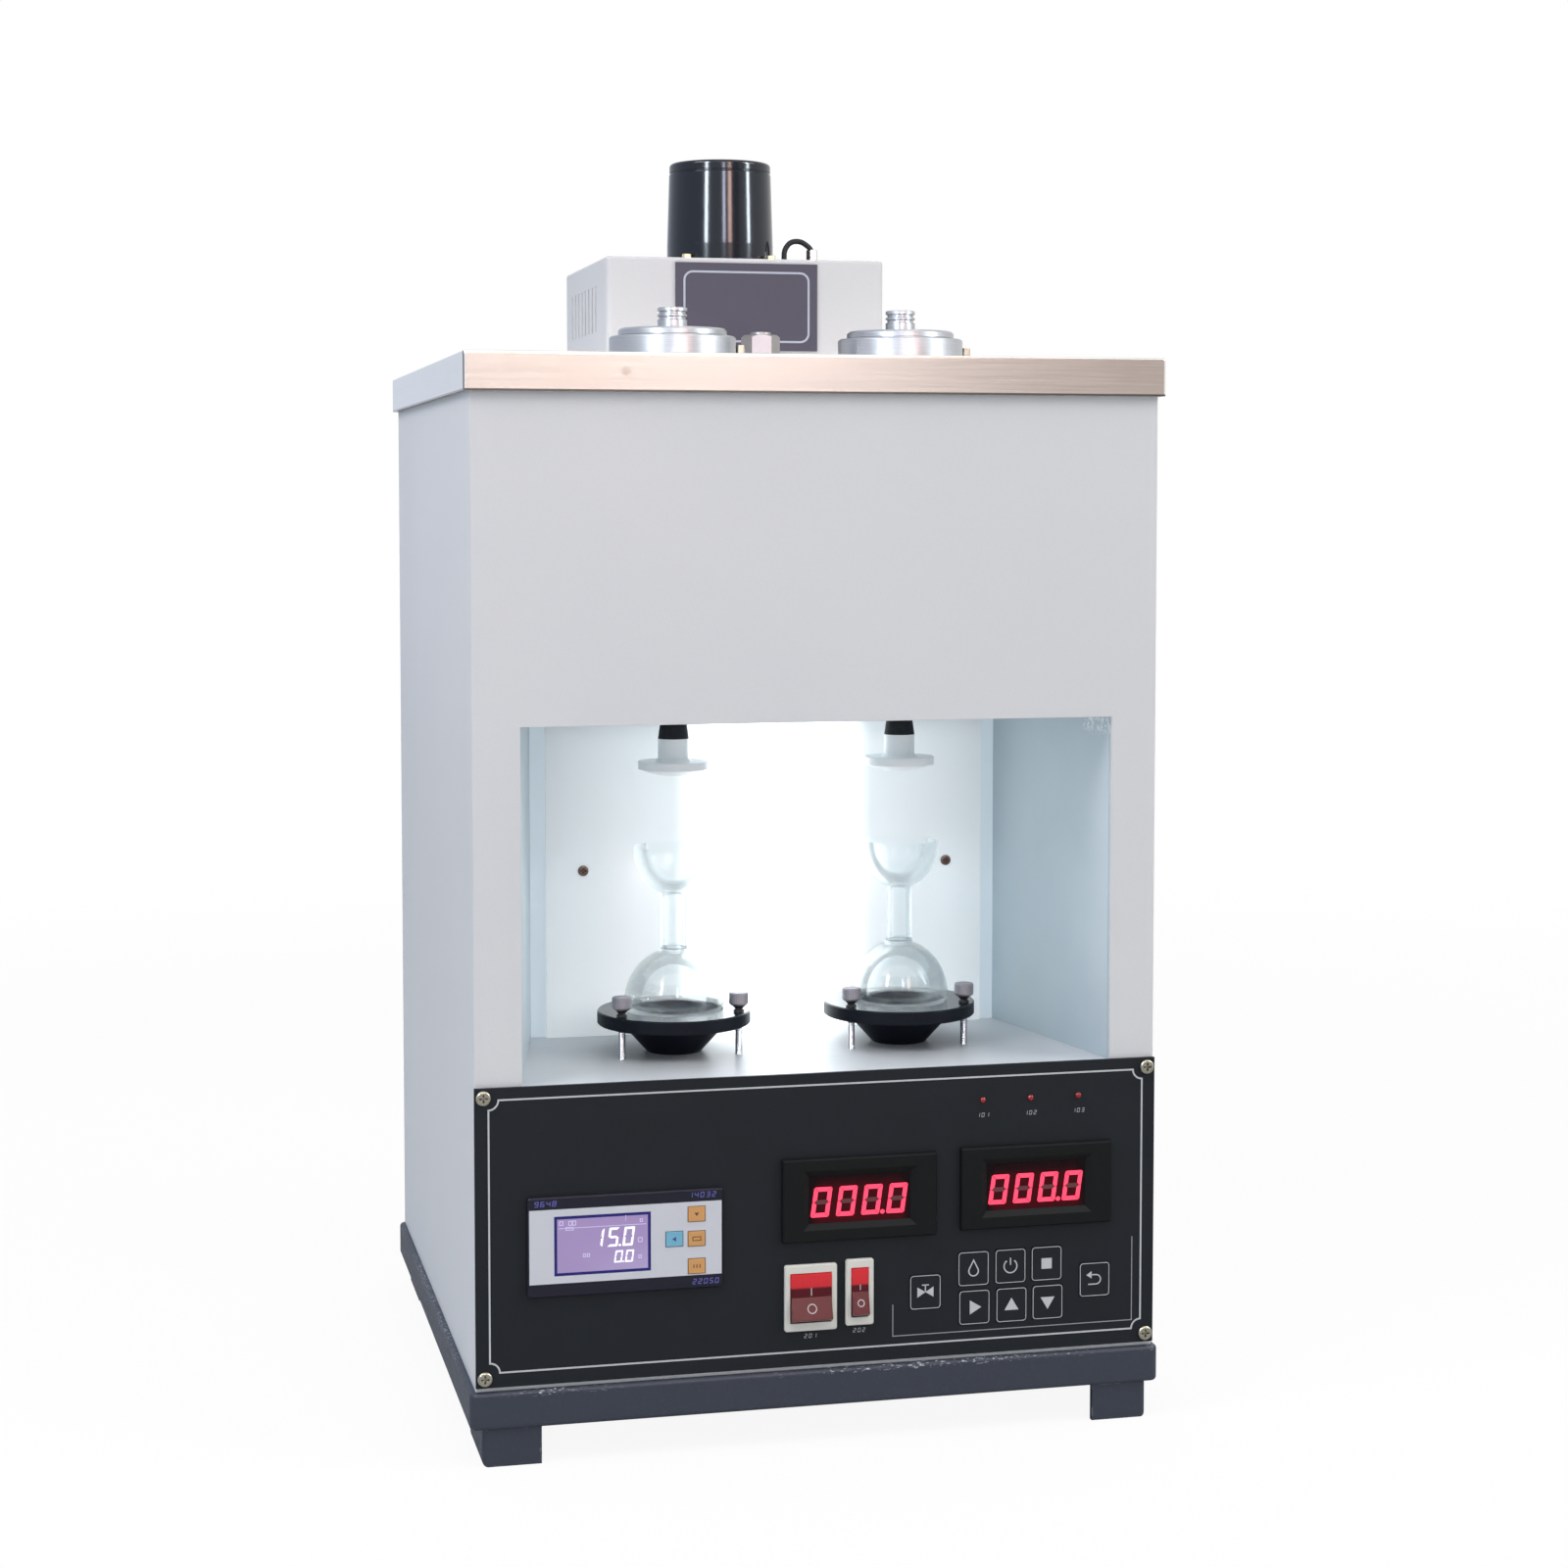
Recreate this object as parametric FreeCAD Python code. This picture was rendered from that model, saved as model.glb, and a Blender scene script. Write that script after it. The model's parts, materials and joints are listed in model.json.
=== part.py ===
import FreeCAD, Part
import math
import os

# Twin-tube Saybolt viscometer on a bench cabinet. Millimetres, +Z up, front towards -Y.
# The origin is on the floor under the centre of the whole object.
# Depths are counted backwards from the front face of the painted cabinet.

V = FreeCAD.Vector

# Cabinet
body_width = 346.0
body_depth = 336.0
body_sheet = 1.5
body_bend = 1.0
overhang = 3.0
foot_height = 18.5
foot_width = 29.0
foot_length = 50.0
foot_inset = 6.0
foot_wall = 3.0
foot_corner = 3.0
foot_round = 10.0
skirt_height = 18.5
skirt_wall = 2.5
skirt_lip = 15.0
skirt_corner = 4.0
skirt_edge = 2.0
shell_flange = 14.0
rear_flange = 20.0
cover_height = 19.0
cover_sheet = 1.5
cover_bend = 1.2
cover_lap = 482.5

# Work chamber
opening_width = 299.0
opening_height = 174.0
chamber_floor_height = 148.0
chamber_back_width = 254.0
chamber_depth = 126.0
liner_sheet = 1.2
liner_flange = 8.5
floor_sheet = 1.5
diffuser_width = 238.0
diffuser_thickness = 3.0
diffuser_screw_x = 99.3
diffuser_screw_up = 88.0
lamp_pocket_width = 140.0
lamp_pocket_depth = 34.0
lamp_pocket_height = 153.0
lamp_pocket_up = 11.0
lamp_window_rim = 8.0
lamp_radius = 8.0
lamp_cap_radius = 8.6
lamp_cap_length = 12.0
lamp_spacing = 48.0

# Viscometer tubes, their lids and stoppers
tube_x = 60.0
tube_depth = 76.0
tube_bore = 14.9
tube_wall = 2.6
tube_rim_height = 133.0
gallery_bore = 22.0
gallery_wall = 2.0
gallery_drop = 6.0
collar_radius = 32.2
collar_height = 11.8
collar_edge = 0.7
sleeve_radius = 11.0
sleeve_bore = 6.9
sleeve_drop = 5.0
sleeve_socket = 16.0
outlet_radius = 0.9
outlet_length = 12.0
outlet_cone = 12.0
lid_radius = 27.6
lid_thickness = 4.0
lid_groove = 0.6
lid_spigot = 5.0
lid_edge = 1.1
knob_radius = 7.6
knob_height = 10.8
knob_groove = 0.9
knob_ring = 2.7
cork_top_radius = 5.35
cork_low_radius = 7.9
cork_height = 18.0
cork_drop = 13.0
handle_stem_height = 11.6
handle_flange_radius = 18.1
handle_flange_height = 4.0
handle_dome = 3.6
handle_fillet = 1.6
handle_edge = 0.8
slip_gap = 0.3

# Flask trays and flasks
tray_margin = 4.5
tray_rim = 7.0
tray_height = 21.5
tray_cone_top = 27.3
tray_cone_low = 14.6
tray_edge = 0.6
screw_pitch_radius = 35.0
thumb_rod_radius = 1.8
thumb_knob_radius = 5.0
thumb_knob_height = 6.6
thumb_neck_height = 3.4
thumb_neck_radius = 3.6
thumb_collar_radius = 2.8
thumb_edge = 0.5
flask_glass = 1.1
flask_base_up = 12.5
flask_radius = 25.7
flask_low_height = 13.5
flask_high_height = 28.0
flask_neck_radius = 6.9
flask_neck_length = 29.4
flask_bowl_radius = 20.6
flask_bowl_height = 24.0
flask_lip = 1.5
flask_blend = 3.0

# Control panel, depths counted forwards from the cabinet's front face
panel_height = 146.3
panel_up = 2.2
panel_thickness = 2.0
panel_screw_inset_x = 4.3
panel_screw_inset_z = 4.6
aperture_width = 320.0
aperture_height = 126.0
aperture_up = 13.0
cutout_gap = 0.2
controller_x = -99.75
controller_up = 70.0
controller_width = 96.5
controller_height = 49.0
controller_proud = 2.6
controller_depth = 62.0
controller_wall = 3.0
controller_corner = 1.5
controller_edge = 0.6
display_x = -111.3
display_up = 70.35
display_width = 47.4
display_height = 29.1
display_thickness = 1.0
control_key_width = 8.3
control_key_height = 7.2
control_key_x = -64.8
control_key_ups = (82.4, 70.2, 56.6)
shift_key_x = -75.9
shift_key_up = 70.6
meter_width = 79.0
meter_height = 41.6
meter_proud = 3.2
meter_slope = 3.0
meter_depth = 48.0
meter_body_step = 2.5
meter_edge = 0.8
meter_xs = (18.0, 109.75)
meter_ups = (85.5, 86.75)
window_width = 51.8
window_height = 23.6
window_thickness = 1.2
rocker_xs = (-7.0, 18.0)
rocker_ups = (36.8, 38.0)
rocker_widths = (20.6, 8.4)
rocker_margins = (3.0, 2.9)
rocker_radius = 12.2
rocker_nose = 5.0
rocker_heel = 4.0
rocker_dish = 1.6
rocker_tilt = 9.0
rocker_pivot_inset = 2.7
bezel_height = 33.2
bezel_proud = 2.2
bezel_corner = 1.2
bezel_edge = 0.5
bezel_depth = 16.0
bezel_pocket = 9.0
lamp_xs = (82.0, 107.0, 132.3)
led_up = 131.0
led_radius = 1.5
led_proud = 1.2
keypad_width = 16.0
keypad_height = 17.3
keypad_proud = 0.4
keypad_pocket = 1.4
keypad_travel = 0.5
keypad_corner = 1.6
key_gap = 0.3
key_edge = 0.15
keypad_places = (
    ("key_valve", 52.3, 35.4),
    ("key_volume", 77.4, 45.7),
    ("key_start", 96.8, 45.8),
    ("key_stop", 115.9, 46.0),
    ("key_right", 77.9, 26.0),
    ("key_up", 97.4, 26.0),
    ("key_down", 116.5, 26.2),
    ("key_back", 141.5, 36.2),
)

# Bath tank and what stands in it
tank_sheet = 1.5
tank_side_gap = 19.5
tank_end_gap = 12.5
tank_rim_gap = 3.5
tank_floor_up = 11.8
plug_gap = 34.0
plug_across_flats = 18.0
plug_turn = 51.8
plug_height = 15.5
plug_washer = 1.5
plug_shank_radius = 8.0
plug_shank_length = 12.0
plug_boss_radius = 5.5
plug_boss_height = 1.4
heater_radius = 4.0
heater_bend = 16.0
heater_loop = 50.0
heater_x = -50.0
heater_turn_x = 20.0
heater_up = 21.5
heater_stub = 12.0

# Control box, stirrer and temperature probe
box_width = 154.6
box_depth = 138.0
box_height = 60.5
box_margin = 26.0
box_sheet = 1.2
box_corner = 3.0
louvre_count = 8
louvre_pitch = 11.5
louvre_width = 3.0
louvre_height = 25.0
louvre_up = 21.5
louvre_back = 33.0
plate_width = 79.0
plate_height = 47.2
plate_thickness = 0.8
plate_drop = 2.7
motor_radius = 30.0
motor_top_radius = 28.6
motor_height = 46.3
motor_wall = 2.0
motor_edge = 2.0
motor_groove = 0.5
motor_groove_drop = 5.4
motor_base_height = 12.0
motor_plate = 62.0
motor_plate_thickness = 2.5
motor_plate_corner = 3.0
motor_screw_x = 24.0
motor_screw_radius = 2.7
motor_screw_height = 3.2
motor_screw_slot = 0.8
motor_screw_slot_depth = 0.9
motor_screw_edge = 0.4
shaft_radius = 3.0
running_gap = 0.05
shaft_well = 8.0
armature_radius = 19.0
armature_height = 28.0
armature_gap = 5.0
impeller_up = 29.0
impeller_radius = 19.0
impeller_hub = 7.0
impeller_height = 12.0
impeller_blades = 4
impeller_blade_thickness = 1.6
impeller_pitch = 35.0
probe_x = 51.0
probe_back = 58.0
probe_rod_radius = 2.0
probe_length = 169.0
probe_hex = 9.0
probe_hex_height = 3.0
probe_cap_flats = 5.6
probe_cap_height = 10.7
probe_cap_edge = 0.6
probe_mouth = 2.6
probe_mouth_depth = 4.5
lead_radius = 1.5
lead_span = 16.2
lead_tail = 2.5
lead_root = 3.5
lead_rise = 10.0
lead_bends = ((-12.6, 14.9), (-6.5, 15.3), (0.0, 10.8))
lead_curve = 0.45
lead_fit = 0.05
grommet_radius = 3.6
grommet_lip = 1.0
grommet_bevel = 0.4

# Rear cover and fasteners
rear_sheet = 1.2
rear_margin = 8.0
rear_screw_inset = 5.0
vent_count = 8
vent_width = 90.0
vent_height = 3.0
vent_pitch = 9.0
vent_up = 250.0
inlet_x = -110.0
inlet_up = 45.0
inlet_width = 31.0
inlet_height = 24.0
inlet_flange = 1.6
inlet_corner = 2.0
inlet_body_width = 27.0
inlet_body_height = 20.0
inlet_depth = 22.0
inlet_socket_width = 22.5
inlet_socket_height = 15.5
inlet_socket_depth = 15.0
inlet_pin = 8.5
inlet_pins = ((-7.0, -1.5), (0.0, 2.5), (7.0, -1.5))
screw_head_radius = 3.7
screw_head_height = 1.6
screw_shank_radius = 1.75
screw_shank_length = 6.0
screw_slot_depth = 0.8
screw_slot_width = 0.9
screw_hole_gap = 0.15
diffuser_screw_radius = 2.8
diffuser_screw_height = 1.3
stud_flats = 4.6
stud_height = 8.0
stud_slot = 0.9
stud_slot_depth = 1.4

# Levels that follow from the sizes above
rocker_reach = (rocker_nose * math.cos(math.radians(rocker_tilt))
                + math.sqrt(rocker_radius ** 2 - rocker_nose ** 2) * math.sin(math.radians(rocker_tilt)))
front_reach = panel_thickness + bezel_proud - rocker_pivot_inset + rocker_reach
front = front_reach - (body_depth + front_reach + overhang) / 2
half_width = body_width / 2
base_top = foot_height + skirt_height
floor_top = base_top + chamber_floor_height
ceiling = floor_top + opening_height
cover_low = base_top + cover_lap
cover_top = cover_low + cover_height
cover_under = cover_top - cover_sheet
tank_rim_low = cover_under - tank_sheet
tank_low = ceiling + liner_sheet + tank_floor_up
tank_floor = tank_low + tank_sheet
tray_top = floor_top + tray_height
tray_radius = screw_pitch_radius + tray_margin
flask_base = floor_top + flask_base_up
box_top = cover_top + box_height
box_front = body_depth - box_margin - box_depth
plug_depth = box_front - plug_gap
motor_depth = box_front + box_depth / 2
motor_low = box_top + motor_base_height
collar_top = cover_top + collar_height


def at(depth):
    """Y of a point that lies this far behind the cabinet's front face."""
    return front + depth


def block(x0, x1, y0, y1, z0, z1):
    """Box between two opposite corners."""
    return Part.makeBox(x1 - x0, y1 - y0, z1 - z0, V(x0, y0, z0))


def disc(x, y, z0, z1, radius):
    """Upright cylinder."""
    return Part.makeCylinder(radius, z1 - z0, V(x, y, z0))


def pin_y(x, z, y0, y1, radius):
    """Cylinder that runs from front to back."""
    return Part.makeCylinder(radius, y1 - y0, V(x, y0, z), V(0, 1, 0))


def hexagon(x, y, z0, z1, across_flats, turn=0.0):
    """Upright hexagonal prism."""
    radius = across_flats / math.sqrt(3)
    corners = []
    for i in range(7):
        a = math.radians(turn + 60 * i)
        corners.append(V(x + radius * math.cos(a), y + radius * math.sin(a), z0))
    return Part.Face(Part.makePolygon(corners)).extrude(V(0, 0, z1 - z0))


def prism(points, z0, z1):
    """Upright prism over a plan outline."""
    corners = [V(x, y, z0) for x, y in points]
    return Part.Face(Part.makePolygon(corners + corners[:1])).extrude(V(0, 0, z1 - z0))


def rounded_block(x0, x1, y0, y1, z0, z1, radius):
    """Box with rounded upright corners."""
    solid = block(x0, x1, y0, y1, z0, z1)
    upright = [e for e in solid.Edges if abs(e.BoundBox.ZLength - (z1 - z0)) < 1e-6]
    return solid.makeFillet(radius, upright)


def rounded_slab(x0, x1, z0, z1, y0, y1, radius):
    """Plate in the panel's plane with rounded corners."""
    solid = block(x0, x1, y0, y1, z0, z1)
    deep = [e for e in solid.Edges if abs(e.BoundBox.YLength - (y1 - y0)) < 1e-6]
    return solid.makeFillet(radius, deep)


def edges_where(solid, test):
    """Edges whose boxes pass a test."""
    return [e for e in solid.Edges if test(e.BoundBox)]


def line(a, b):
    """Profile edge between two (radius, height) points."""
    return Part.LineSegment(V(a[0], 0, a[1]), V(b[0], 0, b[1])).toShape()


def ellipse_run(centre, reach, height, low, high, steps=8):
    """Profile edge along an ellipse, between two angles in degrees."""
    points = []
    for i in range(steps + 1):
        a = math.radians(low + (high - low) * i / steps)
        points.append(V(reach * math.cos(a), 0, centre + height * math.sin(a)))
    curve = Part.BSplineCurve()
    curve.interpolate(points)
    return curve.toShape()


def turned(edges, x, y):
    """Solid of revolution from profile edges, or from (radius, height) points."""
    if isinstance(edges[0], tuple):
        ring = edges + edges[:1]
        edges = [line(ring[i], ring[i + 1]) for i in range(len(edges))]
    face = Part.Face(Part.Wire(Part.__sortEdges__(edges)))
    solid = face.revolve(V(0, 0, 0), V(0, 0, 1), 360)
    solid.translate(V(x, y, 0))
    return solid


def fused(shapes):
    """One clean solid from touching shapes."""
    return shapes[0].multiFuse(shapes[1:]).removeSplitter()


def less(solid, tools):
    """Solid with the tools cut away."""
    return solid.cut(Part.makeCompound(tools))


def save(node, shape):
    """Write one STEP per sub-part."""
    shape.exportStep("parts/" + node + ".step")


def panel_screw_places():
    """Corners of the control panel that hold its screws."""
    x = half_width - panel_screw_inset_x
    low = base_top + panel_up + panel_screw_inset_z
    high = base_top + panel_up + panel_height - panel_screw_inset_z
    return [(sx * x, z) for sx in (-1, 1) for z in (low, high)]


def rear_screw_places():
    """Screws down both sides of the rear cover."""
    x = half_width - rear_margin - rear_screw_inset
    low = base_top + rear_margin + rear_screw_inset
    high = cover_low - rear_margin - rear_screw_inset
    return [(sx * x, low + (high - low) * i / 3) for sx in (-1, 1) for i in range(4)]


def diffuser_screw_places():
    """The two screws of the white diffuser."""
    z = floor_top + diffuser_screw_up
    return [(-diffuser_screw_x, z), (diffuser_screw_x, z)]


def collar_screw_places():
    """One stud beside each tube collar, on its right."""
    reach = collar_radius + stud_flats / math.sqrt(3) + slip_gap
    return [(side * tube_x + reach, at(tube_depth)) for side in (-1, 1)]


def motor_screw_places():
    """Corners of the motor's mounting plate."""
    y = at(motor_depth)
    return [(sx * motor_screw_x, y + sy * motor_screw_x) for sx in (-1, 1) for sy in (-1, 1)]


def screw_holes_y(places, y0, y1):
    """Clearance holes for screws that run from front to back."""
    return [pin_y(x, z, y0, y1, screw_shank_radius + screw_hole_gap) for x, z in places]


def base_frame():
    """Folded steel skirt under the cabinet, with a lip all round below."""
    x = half_width + overhang
    y0 = at(-overhang)
    y1 = at(body_depth + overhang)
    outer = rounded_block(-x, x, y0, y1, foot_height, base_top, skirt_corner)
    rim = edges_where(outer, lambda b: b.ZLength < 1e-6)
    outer = outer.makeFillet(skirt_edge, rim)
    w = skirt_wall
    lip = skirt_lip
    return less(outer, [
        rounded_block(-x + w, x - w, y0 + w, y1 - w, foot_height + w, base_top - w, skirt_corner - 1),
        block(-x + lip, x - lip, y0 + lip, y1 - lip, foot_height - 1, foot_height + w + 1),
    ])


def foot():
    """Front right foot: a folded angle, open to the inside, its free corner rounded off."""
    x1 = half_width + overhang - foot_inset
    x0 = x1 - foot_width
    y0 = at(-overhang + skirt_edge)
    y1 = y0 + foot_length
    w = foot_wall
    r = foot_round
    solid = block(x0, x1, y0, y1, 0, foot_height)
    folds = edges_where(solid, lambda b: b.XMin > x1 - 1e-6 and (b.ZMax < 1e-6 or b.YMax < y0 + 1e-6))
    solid = solid.makeFillet(foot_corner, folds)
    free = block(x0 - 1, x1 + 1, y1 - r, y1 + 1, -1, r)
    free = free.cut(Part.makeCylinder(r, foot_width + 2, V(x0 - 1, y1 - r, r), V(1, 0, 0)))
    return less(solid, [block(x0 - 1, x1 - w, y0 + w, y1 + 1, -1, foot_height + 1), free])


def feet():
    """Four feet welded to the skirt's lip."""
    front_right = foot()
    fronts = [front_right, front_right.mirror(V(0, 0, 0), V(1, 0, 0))]
    middle = V(0, at(body_depth / 2), 0)
    return Part.makeCompound(fronts + [one.mirror(middle, V(0, 1, 0)) for one in fronts])


def cabinet_shell():
    """Painted sheet wrap: front fascia, sides and folded flanges."""
    s = body_sheet
    top = tank_rim_low
    shell = block(-half_width, half_width, at(0), at(body_depth), base_top, top)
    corner = edges_where(shell, lambda b: b.ZLength > 1 and b.YMax < at(1))
    shell = shell.makeFillet(body_bend, corner)
    inner = half_width - s
    flange = half_width - shell_flange
    cuts = [
        block(-inner, inner, at(s), at(body_depth - s), base_top + s, top - s),
        block(-flange, flange, at(shell_flange), at(body_depth - shell_flange), base_top - 1, top + 1),
        block(-half_width + rear_flange, half_width - rear_flange, at(body_depth - 2 * s), at(body_depth + 1),
              base_top + rear_flange, cover_low - rear_flange),
        block(-opening_width / 2, opening_width / 2, at(-1), at(s + 1), floor_top - floor_sheet, ceiling),
        block(-aperture_width / 2, aperture_width / 2, at(-1), at(s + 1),
              base_top + aperture_up, base_top + aperture_up + aperture_height),
    ]
    cuts += screw_holes_y(panel_screw_places(), at(-1), at(s + 1))
    cuts += screw_holes_y(rear_screw_places(), at(body_depth - s - 1), at(body_depth + 1))
    return less(shell, cuts)


def rear_cover():
    """Flat rear sheet with ventilation slots and the inlet's cut-out."""
    x = half_width - rear_margin
    y0 = at(body_depth)
    y1 = y0 + rear_sheet
    sheet = block(-x, x, y0, y1, base_top + rear_margin, cover_low - rear_margin)
    cuts = screw_holes_y(rear_screw_places(), y0 - 1, y1 + 1)
    for i in range(vent_count):
        z = base_top + vent_up + i * vent_pitch
        cuts.append(rounded_slab(-vent_width / 2, vent_width / 2, z, z + vent_height, y0 - 1, y1 + 1,
                                 vent_height / 2 - 0.01))
    w = inlet_body_width / 2 + cutout_gap
    h = inlet_body_height / 2 + cutout_gap
    z = base_top + inlet_up
    cuts.append(block(inlet_x - w, inlet_x + w, y0 - 1, y1 + 1, z - h, z + h))
    return less(sheet, cuts)


def power_inlet():
    """Recessed three-pin mains inlet."""
    z = base_top + inlet_up
    face = at(body_depth) + rear_sheet
    flange = rounded_slab(inlet_x - inlet_width / 2, inlet_x + inlet_width / 2, z - inlet_height / 2,
                          z + inlet_height / 2, face, face + inlet_flange, inlet_corner)
    body = block(inlet_x - inlet_body_width / 2, inlet_x + inlet_body_width / 2, face - inlet_depth, face,
                 z - inlet_body_height / 2, z + inlet_body_height / 2)
    mouth = face + inlet_flange
    w = inlet_socket_width / 2
    h = inlet_socket_height / 2
    bevel = h / 2
    outline = [(-w, -h), (w, -h), (w, h - bevel), (w - bevel, h), (-w + bevel, h), (-w, h - bevel)]
    corners = [V(inlet_x + px, mouth + 1, z + pz) for px, pz in outline]
    socket = Part.Face(Part.makePolygon(corners + corners[:1])).extrude(V(0, -inlet_socket_depth - 1, 0))
    root = mouth - inlet_socket_depth
    pins = []
    for px, pz in inlet_pins:
        x = inlet_x + px
        pins.append(block(x - 1, x + 1, root - 0.5, root + inlet_pin, z + pz - 2, z + pz + 2))
    return fused([flange.fuse(body).cut(socket)] + pins)


def bath_cover():
    """Stainless top cover, folded down all round over the cabinet."""
    x = half_width + overhang
    y0 = at(-overhang)
    y1 = at(body_depth + overhang)
    s = cover_sheet
    cover = block(-x, x, y0, y1, cover_low, cover_top)
    bends = edges_where(cover, lambda b: b.ZMin > cover_top - 1e-6 or b.ZLength > 1)
    cover = cover.makeFillet(cover_bend, bends)
    cuts = [block(-x + s, x - s, y0 + s, y1 - s, cover_low - 1, cover_under)]
    for side in (-1, 1):
        cuts.append(disc(side * tube_x, at(tube_depth), cover_under - 1, cover_top + 1,
                         gallery_bore + gallery_wall + slip_gap))
    cuts.append(disc(0, at(plug_depth), cover_under - 1, cover_top + 1, plug_shank_radius + slip_gap))
    cuts.append(disc(0, at(motor_depth), cover_under - 1, cover_top + 1, shaft_well))
    cuts.append(disc(probe_x, at(box_front + probe_back), cover_under - 1, cover_top + 1,
                     probe_rod_radius + slip_gap))
    for side in (-1, 1):
        cuts.append(disc(heater_x, at(motor_depth + side * heater_loop), cover_under - 1, cover_top + 1,
                         heater_radius + slip_gap))
    for hx, hy in collar_screw_places():
        cuts.append(disc(hx, hy, cover_under - 1, cover_top + 1, screw_shank_radius + screw_hole_gap))
    return less(cover, cuts)


def bath_tank():
    """Stainless tank that hangs by its rim between cabinet and cover."""
    s = tank_sheet
    x = half_width - body_sheet - tank_side_gap
    y0 = at(body_sheet + tank_end_gap)
    y1 = at(body_depth - body_sheet - tank_end_gap)
    rim_x = half_width - body_sheet - tank_rim_gap
    rim = block(-rim_x, rim_x, at(body_sheet + tank_rim_gap), at(body_depth - body_sheet - tank_rim_gap),
                tank_rim_low, cover_under)
    tank = block(-x, x, y0, y1, tank_low, cover_under)
    cuts = [block(-x + s, x - s, y0 + s, y1 - s, tank_floor, cover_under + 1)]
    hole = sleeve_radius + slip_gap
    for side in (-1, 1):
        cuts.append(disc(side * tube_x, at(tube_depth), tank_low - 1, tank_floor + 1, hole))
    for hx, hy in collar_screw_places():
        cuts.append(disc(hx, hy, tank_rim_low - 1, cover_under + 1, screw_shank_radius + screw_hole_gap))
    return less(tank.fuse(rim).removeSplitter(), cuts)


def chamber_plan(depth_low, depth_high, spread):
    """Plan outline of the chamber, which narrows towards its back."""
    wide = opening_width / 2 + spread
    narrow = chamber_back_width / 2 + spread
    return [(-wide, at(depth_low)), (wide, at(depth_low)), (narrow, at(depth_high)), (-narrow, at(depth_high))]


def chamber_liner():
    """Chamber walls, ceiling, front flange and the lamp's pocket, in folded sheet."""
    t = liner_sheet
    back = chamber_depth
    walls = prism(chamber_plan(body_sheet, back + t, t), floor_top, ceiling + t)
    inside = prism(chamber_plan(body_sheet, back, 0), floor_top - 1, ceiling)
    w = opening_width / 2
    flange = block(-w - liner_flange, w + liner_flange, at(body_sheet), at(body_sheet + t),
                   floor_top, ceiling + liner_flange)
    mouth = block(-w, w, at(0), at(body_sheet + t), floor_top - 1, ceiling)
    low = floor_top + lamp_pocket_up
    high = low + lamp_pocket_height
    half = lamp_pocket_width / 2
    pocket = block(-half, half, at(back), at(back + lamp_pocket_depth), low, high)
    hollow = block(-half + t, half - t, at(back + t), at(back + lamp_pocket_depth - t), low + t, high - t)
    r = lamp_window_rim
    window = block(-half + r, half - r, at(back - 1), at(back + 2 * t), low + r, high - r)
    cuts = [inside, mouth, hollow, window]
    hole = sleeve_radius + slip_gap
    for side in (-1, 1):
        cuts.append(disc(side * tube_x, at(tube_depth), ceiling - 1, ceiling + t + 1, hole))
    cuts += screw_holes_y(diffuser_screw_places(), at(back - 1), at(back + t + 1))
    return less(fused([walls, flange, pocket]), cuts)


def thumb_screw_places(side):
    """The two thumb screws of one tray, towards the front."""
    reach = screw_pitch_radius * math.cos(math.radians(30))
    drop = screw_pitch_radius * math.sin(math.radians(30))
    return [(side * tube_x + sx * reach, at(tube_depth) - drop) for sx in (-1, 1)]


def chamber_floor():
    """Grey floor plate of the chamber, tapped for the thumb screws."""
    t = liner_sheet
    w = opening_width / 2
    low = floor_top - floor_sheet
    lip = block(-w, w, at(0), at(body_sheet), low, floor_top)
    plate = prism(chamber_plan(body_sheet, chamber_depth + t, t), low, floor_top)
    holes = []
    for side in (-1, 1):
        for x, y in thumb_screw_places(side):
            holes.append(disc(x, y, low - 1, floor_top + 1, thumb_rod_radius + running_gap))
    return less(fused([lip, plate]), holes)


def diffuser_panel():
    """White diffuser in front of the lamp."""
    half = diffuser_width / 2
    y1 = at(chamber_depth)
    y0 = y1 - diffuser_thickness
    sheet = block(-half, half, y0, y1, floor_top, ceiling)
    return less(sheet, screw_holes_y(diffuser_screw_places(), y0 - 1, y1 + 1))


def lamp_tubes():
    """Two upright lamp tubes with end caps, held between the pocket's ends."""
    low = floor_top + lamp_pocket_up + liner_sheet
    high = floor_top + lamp_pocket_up + lamp_pocket_height - liner_sheet
    y = at(chamber_depth + lamp_pocket_depth / 2)
    tubes = []
    for side in (-1, 1):
        x = side * lamp_spacing / 2
        glass = disc(x, y, low, high, lamp_radius)
        caps = [disc(x, y, low, low + lamp_cap_length, lamp_cap_radius),
                disc(x, y, high - lamp_cap_length, high, lamp_cap_radius)]
        tubes.append(fused([glass] + caps))
    return Part.makeCompound(tubes)


def viscometer_tube(side):
    """Saybolt tube with overflow gallery, outlet, cork sleeve and the collar that hangs it in the cover."""
    body = tube_bore + tube_wall
    gallery = gallery_bore + gallery_wall
    rim = tank_floor + tube_rim_height
    socket = ceiling - sleeve_drop + sleeve_socket
    tip = socket + outlet_length
    e = collar_edge
    profile = [
        (sleeve_bore, ceiling - sleeve_drop), (sleeve_radius, ceiling - sleeve_drop),
        (sleeve_radius, tank_floor), (body, tank_floor), (body, rim - 2 * gallery_drop),
        (gallery, rim - 2 * gallery_drop + (gallery - body)), (gallery, cover_top),
        (collar_radius, cover_top), (collar_radius, collar_top - e), (collar_radius - e, collar_top),
        (gallery_bore, collar_top), (gallery_bore, rim - gallery_drop), (body, rim - gallery_drop),
        (body, rim - 1), (tube_bore, rim), (tube_bore, tip + outlet_cone), (outlet_radius, tip),
        (outlet_radius, socket), (sleeve_bore, socket),
    ]
    return turned(profile, side * tube_x, at(tube_depth))


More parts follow.
